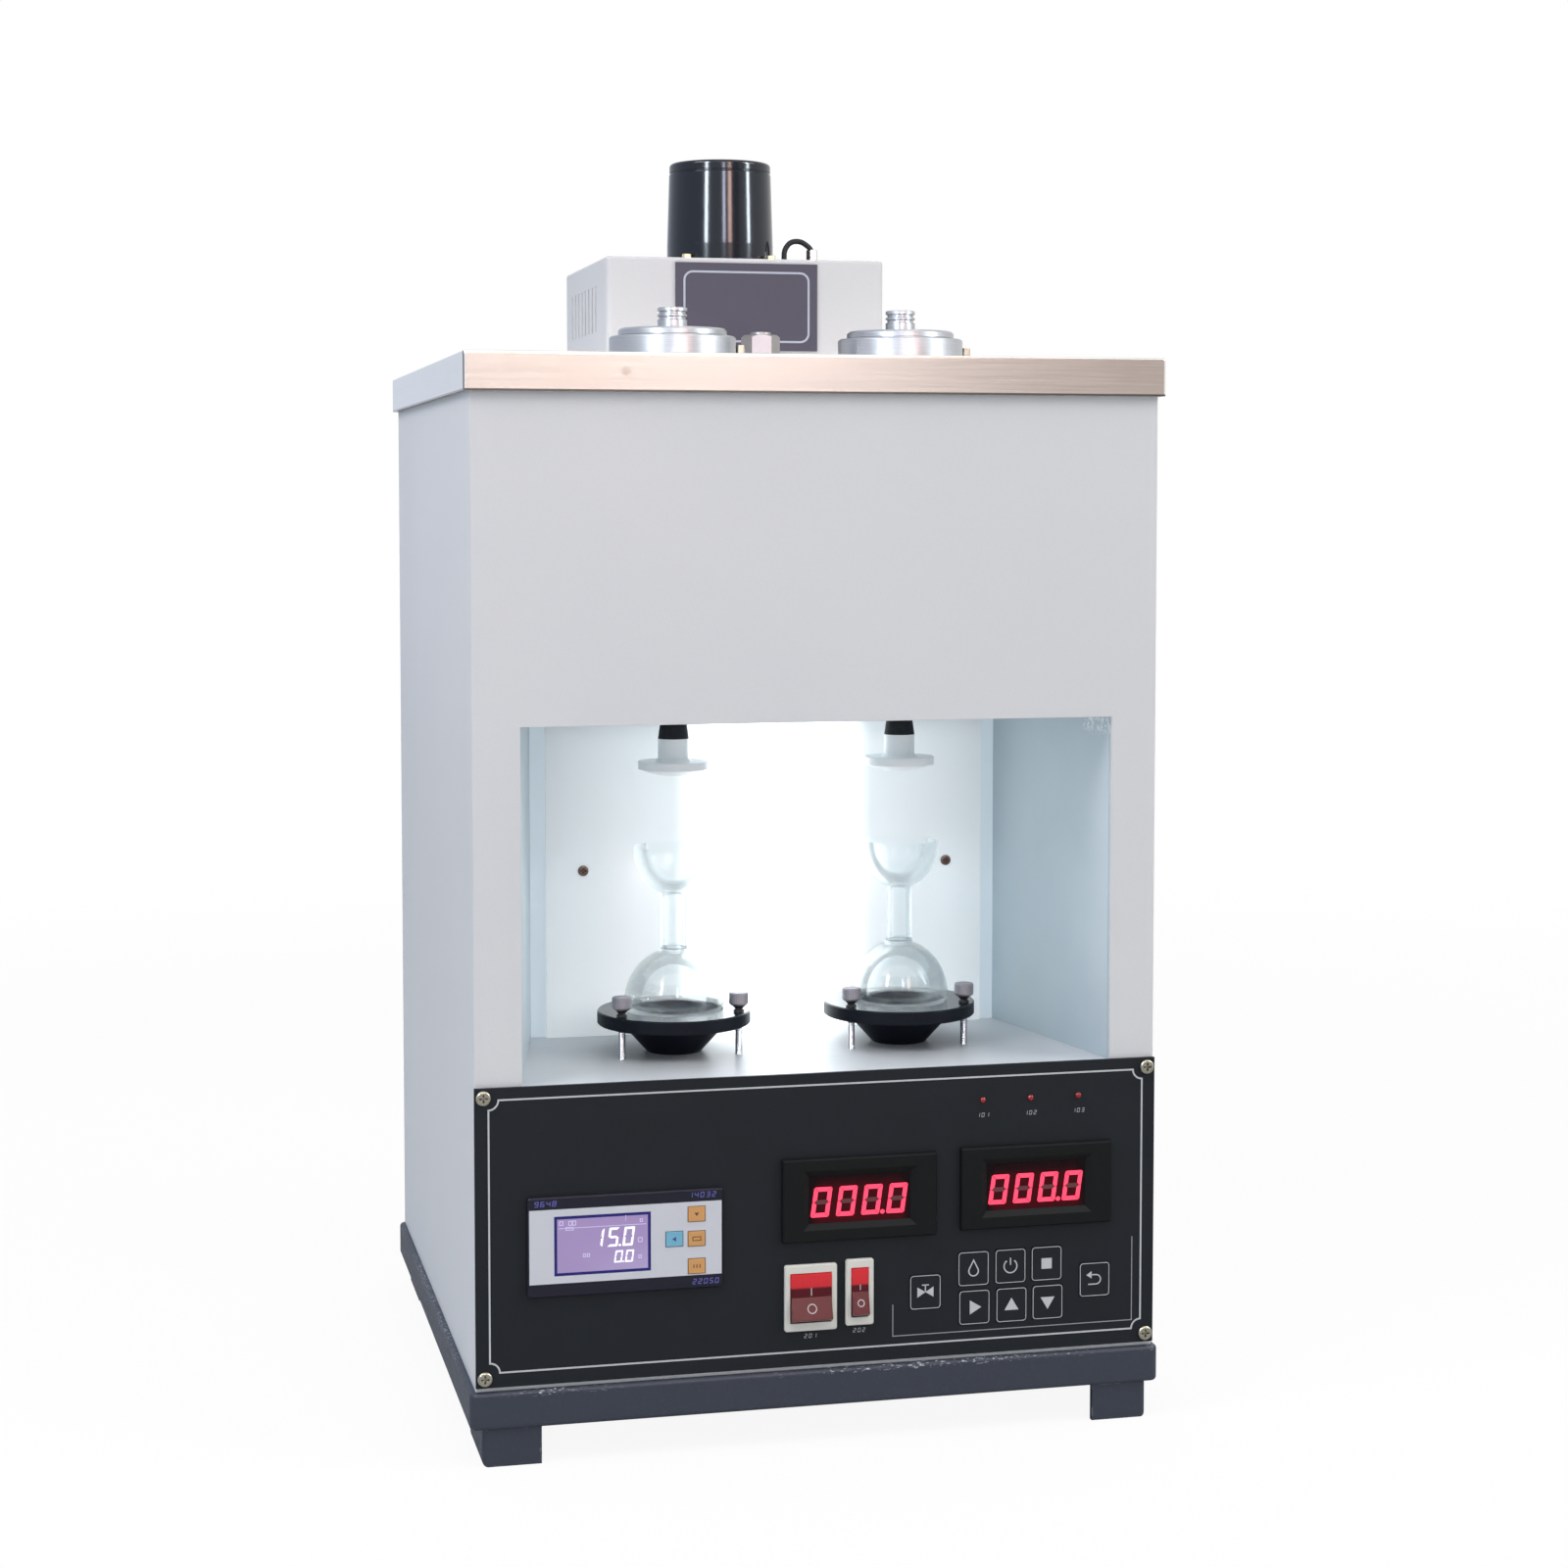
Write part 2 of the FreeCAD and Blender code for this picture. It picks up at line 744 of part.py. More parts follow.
def tube_lid(side):
    """Lid with a spigot below and a grooved knob."""
    low = collar_top
    top = low + lid_thickness
    knob = top + knob_height
    g = knob_groove
    neck = knob_radius - g
    profile = [
        (0, low - lid_spigot), (gallery_bore - slip_gap, low - lid_spigot), (gallery_bore - slip_gap, low),
        (lid_radius - lid_groove, low), (lid_radius - lid_groove, low + lid_groove),
        (lid_radius, low + lid_groove), (lid_radius, top - lid_edge), (lid_radius - lid_edge, top),
        (knob_radius, top),
    ]
    for i in (2, 1):
        z = knob - i * knob_ring
        profile += [(knob_radius, z - g), (neck, z - g / 2), (neck, z + g / 2), (knob_radius, z + g)]
    profile += [(knob_radius, knob - g / 2), (knob_radius - g / 2, knob), (0, knob)]
    return turned(profile, side * tube_x, at(tube_depth))


def stopper_cork(side):
    """Tapered rubber cork that closes the tube's lower end."""
    low = ceiling - cork_drop
    high = low + cork_height
    profile = [(0, low), (cork_low_radius, low), (cork_top_radius, high), (0, high)]
    return turned(profile, side * tube_x, at(tube_depth))


def stopper_handle(side):
    """White handle below the cork: stem, flange and domed underside."""
    top = ceiling - cork_drop
    shelf = top - handle_stem_height
    rim = shelf - handle_flange_height
    r = handle_flange_radius
    f = handle_fillet
    stem = cork_low_radius
    e = handle_edge
    lowest = V(0, 0, rim - handle_dome)
    bulge = Part.Arc(lowest, V(r * 0.55, 0, rim - handle_dome * 0.72), V(r - e, 0, rim)).toShape()
    edges = [
        line((0, top), (stem, top)), line((stem, top), (stem, shelf + f)),
        line((stem, shelf + f), (stem + f, shelf)), line((stem + f, shelf), (r, shelf)),
        line((r, shelf), (r, rim)), line((r, rim), (r - e, rim)), bulge,
        line((0, rim - handle_dome), (0, top)),
    ]
    return turned(edges, side * tube_x, at(tube_depth))


def angle_on(rise, height):
    """Angle in degrees at which an ellipse of this height reaches a rise."""
    return math.degrees(math.asin(rise / height))


def flask_tray(side):
    """Black turned tray: flat rim over a conical cup with a round recess."""
    e = tray_edge
    centre = flask_base + flask_low_height - 1.0
    reach = flask_radius + slip_gap + 0.2
    depth = flask_low_height + slip_gap
    rim_low = tray_top - tray_rim
    a_low = -angle_on(centre - flask_base, depth)
    a_top = angle_on(tray_top - centre, depth)
    floor_r = reach * math.cos(math.radians(a_low))
    mouth_r = reach * math.cos(math.radians(a_top))
    edges = [
        line((0, floor_top), (tray_cone_low - e, floor_top)),
        line((tray_cone_low - e, floor_top), (tray_cone_low, floor_top + e)),
        line((tray_cone_low, floor_top + e), (tray_cone_top, rim_low)),
        line((tray_cone_top, rim_low), (tray_radius - e, rim_low)),
        line((tray_radius - e, rim_low), (tray_radius, rim_low + e)),
        line((tray_radius, rim_low + e), (tray_radius, tray_top - e)),
        line((tray_radius, tray_top - e), (tray_radius - e, tray_top)),
        line((tray_radius - e, tray_top), (mouth_r, tray_top)),
        ellipse_run(centre, reach, depth, a_top, a_low, 6),
        line((floor_r, flask_base), (0, flask_base)),
        line((0, flask_base), (0, floor_top)),
    ]
    tray = turned(edges, side * tube_x, at(tube_depth))
    holes = []
    for x, y in thumb_screw_places(side):
        holes.append(disc(x, y, rim_low - 1, tray_top + 1, thumb_rod_radius + slip_gap))
    return less(tray, holes)


def thumb_screw(x, y):
    """Long thumb screw: knob, dark neck, and a rod through the rim into the floor."""
    rest = tray_top + slip_gap
    waist = rest + thumb_neck_height * 0.45
    knob = rest + thumb_neck_height
    top = knob + thumb_knob_height
    r = thumb_knob_radius
    e = thumb_edge
    profile = [
        (0, floor_top - floor_sheet), (thumb_rod_radius, floor_top - floor_sheet), (thumb_rod_radius, rest),
        (thumb_collar_radius, rest), (thumb_collar_radius, rest + e), (thumb_rod_radius, waist),
        (thumb_neck_radius, knob), (r - 2 * e, knob), (r, knob + 2 * e), (r, top - e), (r - e, top), (0, top),
    ]
    return turned(profile, x, y)


def flask(side):
    """Thin glass receiving flask: flat base, bulb, narrow neck and open bowl."""
    g = flask_glass
    centre = flask_base + flask_low_height - 1.0
    neck = flask_neck_radius
    a_base = -angle_on(flask_low_height - 1.0, flask_low_height)
    a_neck = math.degrees(math.acos(neck / flask_radius))
    shoulder = centre + flask_high_height * math.sin(math.radians(a_neck))
    bowl_low = shoulder + flask_neck_length
    a_bowl = -math.degrees(math.acos(neck / flask_bowl_radius))
    rim = bowl_low + flask_bowl_height * math.sin(math.radians(-a_bowl))
    lip = rim + flask_lip
    base_r = flask_radius * math.cos(math.radians(a_base))
    ai_base = -angle_on(flask_low_height - 1.0 - g, flask_low_height - g)
    ai_neck = math.degrees(math.acos((neck - g) / (flask_radius - g)))
    i_shoulder = centre + (flask_high_height - g) * math.sin(math.radians(ai_neck))
    ai_bowl = -math.degrees(math.acos((neck - g) / (flask_bowl_radius - g)))
    i_bowl_low = rim + (flask_bowl_height - g) * math.sin(math.radians(ai_bowl))
    i_base_r = (flask_radius - g) * math.cos(math.radians(ai_base))
    bowl_in = flask_bowl_radius - g
    edges = [
        line((0, flask_base), (base_r, flask_base)),
        ellipse_run(centre, flask_radius, flask_low_height, a_base, 0, 5),
        ellipse_run(centre, flask_radius, flask_high_height, 0, a_neck),
        line((neck, shoulder), (neck, bowl_low)),
        ellipse_run(rim, flask_bowl_radius, flask_bowl_height, a_bowl, 0),
        line((flask_bowl_radius, rim), (flask_bowl_radius, lip)),
        line((flask_bowl_radius, lip), (bowl_in, lip)),
        line((bowl_in, lip), (bowl_in, rim)),
        ellipse_run(rim, bowl_in, flask_bowl_height - g, ai_bowl, 0),
        line((neck - g, i_bowl_low), (neck - g, i_shoulder)),
        ellipse_run(centre, flask_radius - g, flask_high_height - g, 0, ai_neck),
        ellipse_run(centre, flask_radius - g, flask_low_height - g, ai_base, 0, 5),
        line((i_base_r, flask_base + g), (0, flask_base + g)),
        line((0, flask_base + g), (0, flask_base)),
    ]
    glass = turned(edges, side * tube_x, at(tube_depth))
    for radius, blend in ((neck, flask_blend), (neck - g, flask_blend + g)):
        joins = edges_where(glass, lambda b: abs(b.XLength / 2 - radius) < 0.01 and b.ZLength < 1e-3)
        glass = glass.makeFillet(blend, joins)
    return glass


def keypad_outline(x, up, grow, y0, y1):
    """Rounded key-sized slab, grown by a gap when it cuts a pocket."""
    z = base_top + up
    w = keypad_width / 2 + grow
    h = keypad_height / 2 + grow
    return rounded_slab(x - w, x + w, z - h, z + h, y0, y1, keypad_corner)


def control_panel():
    """Black front plate with cut-outs, key pockets and lamp holes."""
    y0 = at(-panel_thickness)
    y1 = at(0)
    low = base_top + panel_up
    plate = block(-half_width, half_width, y0, y1, low, low + panel_height)
    cuts = screw_holes_y(panel_screw_places(), y0 - 1, y1 + 1)
    w = controller_width / 2 - controller_wall + cutout_gap
    h = controller_height / 2 - controller_wall + cutout_gap
    z = base_top + controller_up
    cuts.append(block(controller_x - w, controller_x + w, y0 - 1, y1 + 1, z - h, z + h))
    w = meter_width / 2 - meter_body_step + cutout_gap
    h = meter_height / 2 - meter_body_step + cutout_gap
    for x, up in zip(meter_xs, meter_ups):
        z = base_top + up
        cuts.append(block(x - w, x + w, y0 - 1, y1 + 1, z - h, z + h))
    for x, up, width, margin in zip(rocker_xs, rocker_ups, rocker_widths, rocker_margins):
        w = width / 2 + margin / 2 + cutout_gap
        h = bezel_height / 2 - rocker_margins[0] / 2 + cutout_gap
        z = base_top + up
        cuts.append(block(x - w, x + w, y0 - 1, y1 + 1, z - h, z + h))
    for x in lamp_xs:
        cuts.append(pin_y(x, base_top + led_up, y0 - 1, y1 + 1, led_radius + running_gap))
    for _, x, up in keypad_places:
        cuts.append(keypad_outline(x, up, key_gap, y0 - 1, y0 + keypad_pocket))
    return less(plate, cuts)


def keypad_key(x, up):
    """Keypad pad that stands slightly proud of the panel and travels into its pocket."""
    y0 = at(-panel_thickness - keypad_proud)
    y1 = at(-panel_thickness + keypad_pocket - keypad_travel - running_gap)
    pad = keypad_outline(x, up, 0, y0, y1)
    return pad.makeChamfer(key_edge, edges_where(pad, lambda b: b.YMax < y0 + 1e-6))


def controller_keys():
    """Names and places of the four keys on the controller."""
    names = ("controller_key_top", "controller_key_middle", "controller_key_low")
    places = [(name, control_key_x, up) for name, up in zip(names, control_key_ups)]
    return places + [("controller_key_shift", shift_key_x, shift_key_up)]


def control_key(x, up, grow, y0, y1):
    """Slab of a controller key, or of its pocket."""
    z = base_top + up
    w = control_key_width / 2 + grow
    h = control_key_height / 2 + grow
    return block(x - w, x + w, y0, y1, z - h, z + h)


def controller_key(x, up):
    """Small controller key with chamfered face."""
    y0 = at(-panel_thickness - controller_proud - keypad_proud)
    y1 = at(-panel_thickness - controller_proud + keypad_pocket - keypad_travel - running_gap)
    pad = control_key(x, up, 0, y0, y1)
    return pad.makeChamfer(key_edge, edges_where(pad, lambda b: b.YMax < y0 + 1e-6))


def controller_housing():
    """Panel-mounted temperature controller with bezel, pockets and rear case."""
    y0 = at(-panel_thickness - controller_proud)
    z = base_top + controller_up
    w = controller_width / 2
    h = controller_height / 2
    bezel = rounded_slab(controller_x - w, controller_x + w, z - h, z + h, y0, at(-panel_thickness),
                         controller_corner)
    bezel = bezel.makeChamfer(controller_edge, edges_where(bezel, lambda b: b.YMax < y0 + 1e-6))
    w -= controller_wall
    h -= controller_wall
    case = block(controller_x - w, controller_x + w, at(-panel_thickness), at(controller_depth), z - h, z + h)
    dz = base_top + display_up
    dw = display_width / 2 + running_gap
    dh = display_height / 2 + running_gap
    cuts = [block(display_x - dw, display_x + dw, y0 - 1, y0 + display_thickness, dz - dh, dz + dh)]
    for _, x, up in controller_keys():
        cuts.append(control_key(x, up, key_gap, y0 - 1, y0 + keypad_pocket))
    return less(fused([bezel, case]), cuts)


def controller_display():
    """Display glass set flush in the controller's face."""
    y0 = at(-panel_thickness - controller_proud)
    z = base_top + display_up
    return block(display_x - display_width / 2, display_x + display_width / 2, y0, y0 + display_thickness,
                 z - display_height / 2, z + display_height / 2)


def timer_housings():
    """Two digital timers: bezel with a sloped frame round the window, and a rear case."""
    housings = []
    y0 = at(-panel_thickness - meter_proud)
    for x, up in zip(meter_xs, meter_ups):
        z = base_top + up
        w = meter_width / 2
        h = meter_height / 2
        bezel = block(x - w, x + w, y0, at(-panel_thickness), z - h, z + h)
        bezel = bezel.makeChamfer(meter_edge, edges_where(bezel, lambda b: b.YMax < y0 + 1e-6))
        w -= meter_body_step
        h -= meter_body_step
        case = block(x - w, x + w, at(-panel_thickness), at(meter_depth), z - h, z + h)
        ww = window_width / 2 + running_gap
        wh = window_height / 2 + running_gap
        depth = meter_proud - window_thickness
        mouth = Part.makePolygon([V(x - ww - meter_slope, y0, z - wh - meter_slope),
                                  V(x + ww + meter_slope, y0, z - wh - meter_slope),
                                  V(x + ww + meter_slope, y0, z + wh + meter_slope),
                                  V(x - ww - meter_slope, y0, z + wh + meter_slope),
                                  V(x - ww - meter_slope, y0, z - wh - meter_slope)])
        root = Part.makePolygon([V(x - ww, y0 + depth, z - wh), V(x + ww, y0 + depth, z - wh),
                                 V(x + ww, y0 + depth, z + wh), V(x - ww, y0 + depth, z + wh),
                                 V(x - ww, y0 + depth, z - wh)])
        slope = Part.makeLoft([mouth, root], True, True)
        seat = block(x - ww, x + ww, y0 + depth, at(-panel_thickness), z - wh, z + wh)
        housings.append(less(fused([bezel, case]), [slope, seat]))
    return Part.makeCompound(housings)


def timer_windows():
    """Red filter windows of the two timers."""
    panes = []
    y1 = at(-panel_thickness)
    for x, up in zip(meter_xs, meter_ups):
        z = base_top + up
        panes.append(block(x - window_width / 2, x + window_width / 2, y1 - window_thickness, y1,
                           z - window_height / 2, z + window_height / 2))
    return Part.makeCompound(panes)


def rocker_pivot():
    """Y of the rocker pivots."""
    return at(-panel_thickness - bezel_proud + rocker_pivot_inset)


def switch_bezels():
    """Frames of the two rocker switches, with their cases behind the panel."""
    frames = []
    for x, up, width, margin in zip(rocker_xs, rocker_ups, rocker_widths, rocker_margins):
        z = base_top + up
        y0 = at(-panel_thickness - bezel_proud)
        w = width / 2 + margin
        h = bezel_height / 2
        frame = rounded_slab(x - w, x + w, z - h, z + h, y0, at(-panel_thickness), bezel_corner)
        frame = frame.makeChamfer(bezel_edge, edges_where(frame, lambda b: b.YMax < y0 + 1e-6))
        w = width / 2 + margin / 2
        h = bezel_height / 2 - rocker_margins[0] / 2
        case = block(x - w, x + w, at(-panel_thickness), at(bezel_depth), z - h, z + h)
        w = width / 2 + slip_gap
        h = rocker_radius + slip_gap
        pocket = block(x - w, x + w, y0 - 1, rocker_pivot() + bezel_pocket, z - h, z + h)
        frames.append(less(fused([frame, case]), [pocket]))
    return Part.makeCompound(frames)


def rocker(index):
    """Dished rocker, round-ended about its pivot, at rest with its upper end pressed."""
    x = rocker_xs[index]
    z = base_top + rocker_ups[index]
    y = rocker_pivot()
    w = rocker_widths[index] / 2
    drum = Part.makeCylinder(rocker_radius, 2 * w, V(x - w, y, z), V(1, 0, 0))
    slab = block(x - w - 1, x + w + 1, y - rocker_nose, y + rocker_heel, z - rocker_radius, z + rocker_radius)
    body = drum.common(slab)
    reach = math.sqrt(rocker_radius ** 2 - rocker_nose ** 2)
    dish = [V(x - w - 1, y - rocker_nose - 1, z - reach), V(x - w - 1, y - rocker_nose, z - reach),
            V(x - w - 1, y - rocker_nose + rocker_dish, z), V(x - w - 1, y - rocker_nose, z + reach),
            V(x - w - 1, y - rocker_nose - 1, z + reach)]
    body = body.cut(Part.Face(Part.makePolygon(dish + dish[:1])).extrude(V(2 * w + 2, 0, 0)))
    body.rotate(V(x, y, z), V(1, 0, 0), -rocker_tilt)
    return body


def indicator_lamps():
    """Three small red lamps with shoulders behind the panel."""
    lamps = []
    z = base_top + led_up
    for x in lamp_xs:
        body = pin_y(x, z, at(-panel_thickness - led_proud), at(0), led_radius)
        body = body.makeFillet(led_radius * 0.7, edges_where(body, lambda b: b.YMax < at(-panel_thickness)))
        lamps.append(fused([body, pin_y(x, z, at(0), at(body_sheet), led_radius * 1.4)]))
    return Part.makeCompound(lamps)


def filler_plug():
    """Hexagon plug in the bath's filling hole."""
    y = at(plug_depth)
    low = cover_top + plug_washer
    top = low + plug_height
    head = hexagon(0, y, low, top, plug_across_flats, plug_turn)
    corner = plug_across_flats / math.sqrt(3)
    flat = plug_across_flats / 2
    wide = corner + 0.1
    envelope = [(0, low), (wide, low), (wide, top - (corner - flat)), (flat * 0.97, top), (0, top)]
    head = head.common(turned(envelope, 0, y))
    washer = disc(0, y, cover_top, low, corner)
    shank = disc(0, y, cover_under - plug_shank_length, cover_top, plug_shank_radius)
    boss = disc(0, y, top, top + plug_boss_height, plug_boss_radius)
    return fused([head, washer, shank, boss])


def heater_coil():
    """Immersion heater: two upright legs joined by a hairpin over the tank floor."""
    low = tank_floor + heater_up
    top = cover_top + heater_stub
    b = heater_bend
    k = math.sqrt(0.5)
    y0 = at(motor_depth - heater_loop)
    y1 = at(motor_depth + heater_loop)
    x = heater_x
    turn = heater_turn_x
    bend = b * (1 - k)
    edges = [
        Part.LineSegment(V(x, y0, top), V(x, y0, low + b)),
        Part.Arc(V(x, y0, low + b), V(x + bend, y0, low + bend), V(x + b, y0, low)),
        Part.LineSegment(V(x + b, y0, low), V(turn, y0, low)),
        Part.Arc(V(turn, y0, low), V(turn + heater_loop, at(motor_depth), low), V(turn, y1, low)),
        Part.LineSegment(V(turn, y1, low), V(x + b, y1, low)),
        Part.Arc(V(x + b, y1, low), V(x + bend, y1, low + bend), V(x, y1, low + b)),
        Part.LineSegment(V(x, y1, low + b), V(x, y1, top)),
    ]
    path = Part.Wire([e.toShape() for e in edges])
    section = Part.Wire(Part.makeCircle(heater_radius, V(x, y0, top), V(0, 0, 1)))
    return path.makePipeShell([section], True, False)


def control_box():
    """Painted box on the cover that carries the stirrer motor, with louvred sides."""
    w = box_width / 2
    s = box_sheet
    y0 = at(box_front)
    y1 = at(box_front + box_depth)
    shell = rounded_block(-w, w, y0, y1, cover_top, box_top, box_corner)
    shell = shell.makeFillet(box_corner - s, edges_where(shell, lambda b: b.ZMin > box_top - 1e-6))
    cuts = [rounded_block(-w + s, w - s, y0 + s, y1 - s, cover_top - 1, box_top - s, box_corner - s)]
    cuts.append(disc(0, at(motor_depth), box_top - s - 1, box_top + 1, shaft_well))
    for x, y in motor_screw_places():
        cuts.append(disc(x, y, box_top - s - 1, box_top + 1, motor_screw_radius / 2 + screw_hole_gap))
    py = at(box_front + probe_back)
    cuts.append(disc(probe_x, py, box_top - s - 1, box_top + 1, probe_rod_radius + slip_gap))
    cuts.append(disc(probe_x - lead_span, py, box_top - s - 1, box_top + 1, grommet_radius - grommet_lip))
    low = cover_top + louvre_up
    for i in range(louvre_count):
        y = y0 + louvre_back + i * louvre_pitch
        cuts.append(block(-w - 1, w + 1, y, y + louvre_width, low, low + louvre_height))
    return less(shell, cuts)


def label_plate():
    """Bare plate on the front of the control box."""
    top = box_top - plate_drop
    return block(-plate_width / 2, plate_width / 2, at(box_front - plate_thickness), at(box_front),
                 top - plate_height, top)


def motor_base():
    """Square mounting plate and round base with the shaft's bearing."""
    y = at(motor_depth)
    half = motor_plate / 2
    plate = rounded_block(-half, half, y - half, y + half, box_top, box_top + motor_plate_thickness,
                          motor_plate_corner)
    ring = disc(0, y, box_top, motor_low, motor_radius)
    cuts = [disc(0, y, box_top - 1, motor_low + 1, shaft_radius + running_gap)]
    for sx, sy in motor_screw_places():
        cuts.append(disc(sx, sy, box_top - 1, box_top + motor_plate_thickness + 1,
                         motor_screw_radius / 2 + screw_hole_gap))
    return less(fused([plate, ring]), cuts)


def motor_housing():
    """Deep-drawn motor cover, slightly tapered, with a groove below its top."""
    y = at(motor_depth)
    top = motor_low + motor_height
    w = motor_wall
    e = motor_edge
    groove = top - motor_groove_drop
    lean = (motor_radius - motor_top_radius) / motor_height
    at_groove = motor_top_radius + lean * (top - groove)
    roof = armature_radius * 0.5
    edges = [
        line((motor_radius - w, motor_low), (motor_radius, motor_low)),
        line((motor_radius, motor_low), (at_groove, groove - 1)),
        line((at_groove, groove - 1), (at_groove - motor_groove, groove - 0.5)),
        line((at_groove - motor_groove, groove - 0.5), (at_groove - motor_groove, groove)),
        line((at_groove - motor_groove, groove), (motor_top_radius, groove + 0.4)),
        line((motor_top_radius, groove + 0.4), (motor_top_radius, top - e)),
        Part.Arc(V(motor_top_radius, 0, top - e), V(motor_top_radius - e * (1 - math.sqrt(0.5)), 0,
                 top - e * (1 - math.sqrt(0.5))), V(motor_top_radius - e, 0, top)).toShape(),
        line((motor_top_radius - e, top), (0, top)),
        line((0, top), (0, top - w)),
        line((0, top - w), (shaft_radius + running_gap, top - w)),
        line((shaft_radius + running_gap, top - w), (shaft_radius + running_gap, top - w - armature_gap)),
        line((shaft_radius + running_gap, top - w - armature_gap), (roof, top - w - armature_gap)),
        line((roof, top - w - armature_gap), (roof, top - w)),
        line((roof, top - w), (motor_top_radius - w - e, top - w)),
        line((motor_top_radius - w - e, top - w), (motor_radius - w - e, motor_low)),
        line((motor_radius - w - e, motor_low), (motor_radius - w, motor_low)),
    ]
    return turned(edges, 0, y)


def motor_screws():
    """Four brass screws of the motor's plate."""
    low = box_top + motor_plate_thickness
    top = low + motor_screw_height
    r = motor_screw_radius
    w = motor_screw_slot / 2
    screws = []
    for x, y in motor_screw_places():
        head = disc(x, y, low, top, r)
        head = head.makeChamfer(motor_screw_edge, edges_where(head, lambda b: b.ZMin > top - 1e-6))
        slot = block(x - r, x + r, y - w, y + w, top - motor_screw_slot_depth, top + 1)
        shank = disc(x, y, box_top - box_sheet - 2, low, r / 2)
        screws.append(fused([head.cut(slot), shank]))
    return Part.makeCompound(screws)


def stirrer():
    """Motor armature, shaft and pitched-blade impeller in one turning piece."""
    y = at(motor_depth)
    low = tank_floor + impeller_up
    roof = motor_low + motor_height - motor_wall
    shaft = disc(0, y, low, roof - running_gap * 4, shaft_radius)
    core = disc(0, y, motor_low + armature_gap, motor_low + armature_gap + armature_height, armature_radius)
    hub = disc(0, y, low, low + impeller_height, impeller_hub)
    parts = [shaft, core, hub]
    t = impeller_blade_thickness / 2
    h = impeller_height / 2
    for i in range(impeller_blades):
        blade = block(impeller_hub / 2, impeller_radius, -t, t, -h, h)
        blade.rotate(V(0, 0, 0), V(1, 0, 0), impeller_pitch)
        blade.rotate(V(0, 0, 0), V(0, 0, 1), 360.0 * i / impeller_blades + 45)
        blade.translate(V(0, y, low + impeller_height / 2))
        parts.append(blade)
    return fused(parts)


def temperature_probe():
    """Probe rod with a hexagon foot and a tall hexagon cap that takes its lead."""
    y = at(box_front + probe_back)
    top = box_top + probe_cap_height
    foot_nut = hexagon(probe_x, y, box_top, box_top + probe_hex_height, probe_hex)
    cap = hexagon(probe_x, y, box_top, top, probe_cap_flats)
    corner = probe_cap_flats / math.sqrt(3) + 0.1
    e = probe_cap_edge
    envelope = [(0, box_top), (corner, box_top), (corner, top - e), (corner - 2 * e, top), (0, top)]
    cap = cap.common(turned(envelope, probe_x, y))
    rod = disc(probe_x, y, box_top - probe_length, box_top, probe_rod_radius)
    bore = lead_radius + lead_fit
    mouth = turned([(0, box_top + lead_root), (bore, box_top + lead_root), (bore, top - probe_mouth_depth),
                    (probe_mouth, top), (probe_mouth, top + 1), (0, top + 1)], probe_x, y)
    return fused([foot_nut, cap, rod]).cut(mouth)


def lead_route():
    """Route of the probe's short lead, from inside the box over into the probe's cap."""
    y = at(box_front + probe_back)
    left = probe_x - lead_span
    leg = [V(left, y, box_top - lead_tail), V(left, y, box_top + lead_rise)]
    turns = [V(probe_x + x, y, box_top + up) for x, up in lead_bends]
    return leg + turns + [V(probe_x, y, box_top + lead_root)]


def sensor_lead():
    """Short black lead, straight runs joined by arcs."""
    route = lead_route()
    edges = []
    start = route[0]
    for i in range(1, len(route) - 1):
        before = route[i - 1] - route[i]
        after = route[i + 1] - route[i]
        cut = lead_curve * min(before.Length, after.Length)
        half_turn = (math.pi - before.getAngle(after)) / 2
        before.normalize()
        after.normalize()
        p = route[i] + before * cut
        q = route[i] + after * cut
        radius = cut / math.tan(half_turn)
        print("lead arc radius", round(radius, 2))
        inward = before + after
        inward.normalize()
        middle = route[i] + inward * (radius / math.cos(half_turn) - radius)
        edges.append(Part.LineSegment(start, p).toShape())
        edges.append(Part.Arc(p, middle, q).toShape())
        start = q
    edges.append(Part.LineSegment(start, route[-1]).toShape())
    path = Part.Wire(edges)
    section = Part.Wire(Part.makeCircle(lead_radius, route[0], V(0, 0, 1)))
    tube = path.makePipeShell([section], True, False)
    print("lead volume", round(tube.Volume, 2), "of", round(math.pi * lead_radius ** 2 * path.Length, 2))
    return tube


def lead_grommet():
    """Rubber grommet in the box's top sheet."""
    x = probe_x - lead_span
    y = at(box_front + probe_back)
    waist = grommet_radius - grommet_lip
    bore = lead_radius + lead_fit
    s = box_sheet
    profile = [
        (bore, box_top - s - grommet_lip), (grommet_radius, box_top - s - grommet_lip),
        (grommet_radius, box_top - s), (waist, box_top - s), (waist, box_top), (grommet_radius, box_top),
        (grommet_radius - grommet_bevel, box_top + grommet_lip), (bore, box_top + grommet_lip),
    ]
    return turned(profile, x, y)


def pan_screw(radius, height):
    """Cross-head pan screw, head towards +Z, seat at the origin."""
    head = Part.makeCylinder(radius, height)
    head = head.makeFillet(height * 0.6, edges_where(head, lambda b: b.ZMin > height - 1e-6))
    w = screw_slot_width / 2
    arm = radius * 0.55
    top = height + 1
    low = height - screw_slot_depth
    cross = block(-arm, arm, -w, w, low, top).fuse(block(-w, w, -arm, arm, low, top))
    shank = Part.makeCylinder(screw_shank_radius, screw_shank_length, V(0, 0, -screw_shank_length))
    return fused([head.cut(cross), shank])


def collar_stud():
    """Slotted hexagon stud, head towards +Z, seat at the origin."""
    head = hexagon(0, 0, 0, stud_height, stud_flats)
    w = stud_slot / 2
    slot = block(-stud_flats, stud_flats, -w, w, stud_height - stud_slot_depth, stud_height + 1)
    shank = Part.makeCylinder(screw_shank_radius, screw_shank_length, V(0, 0, -screw_shank_length))
    return fused([head.cut(slot), shank])


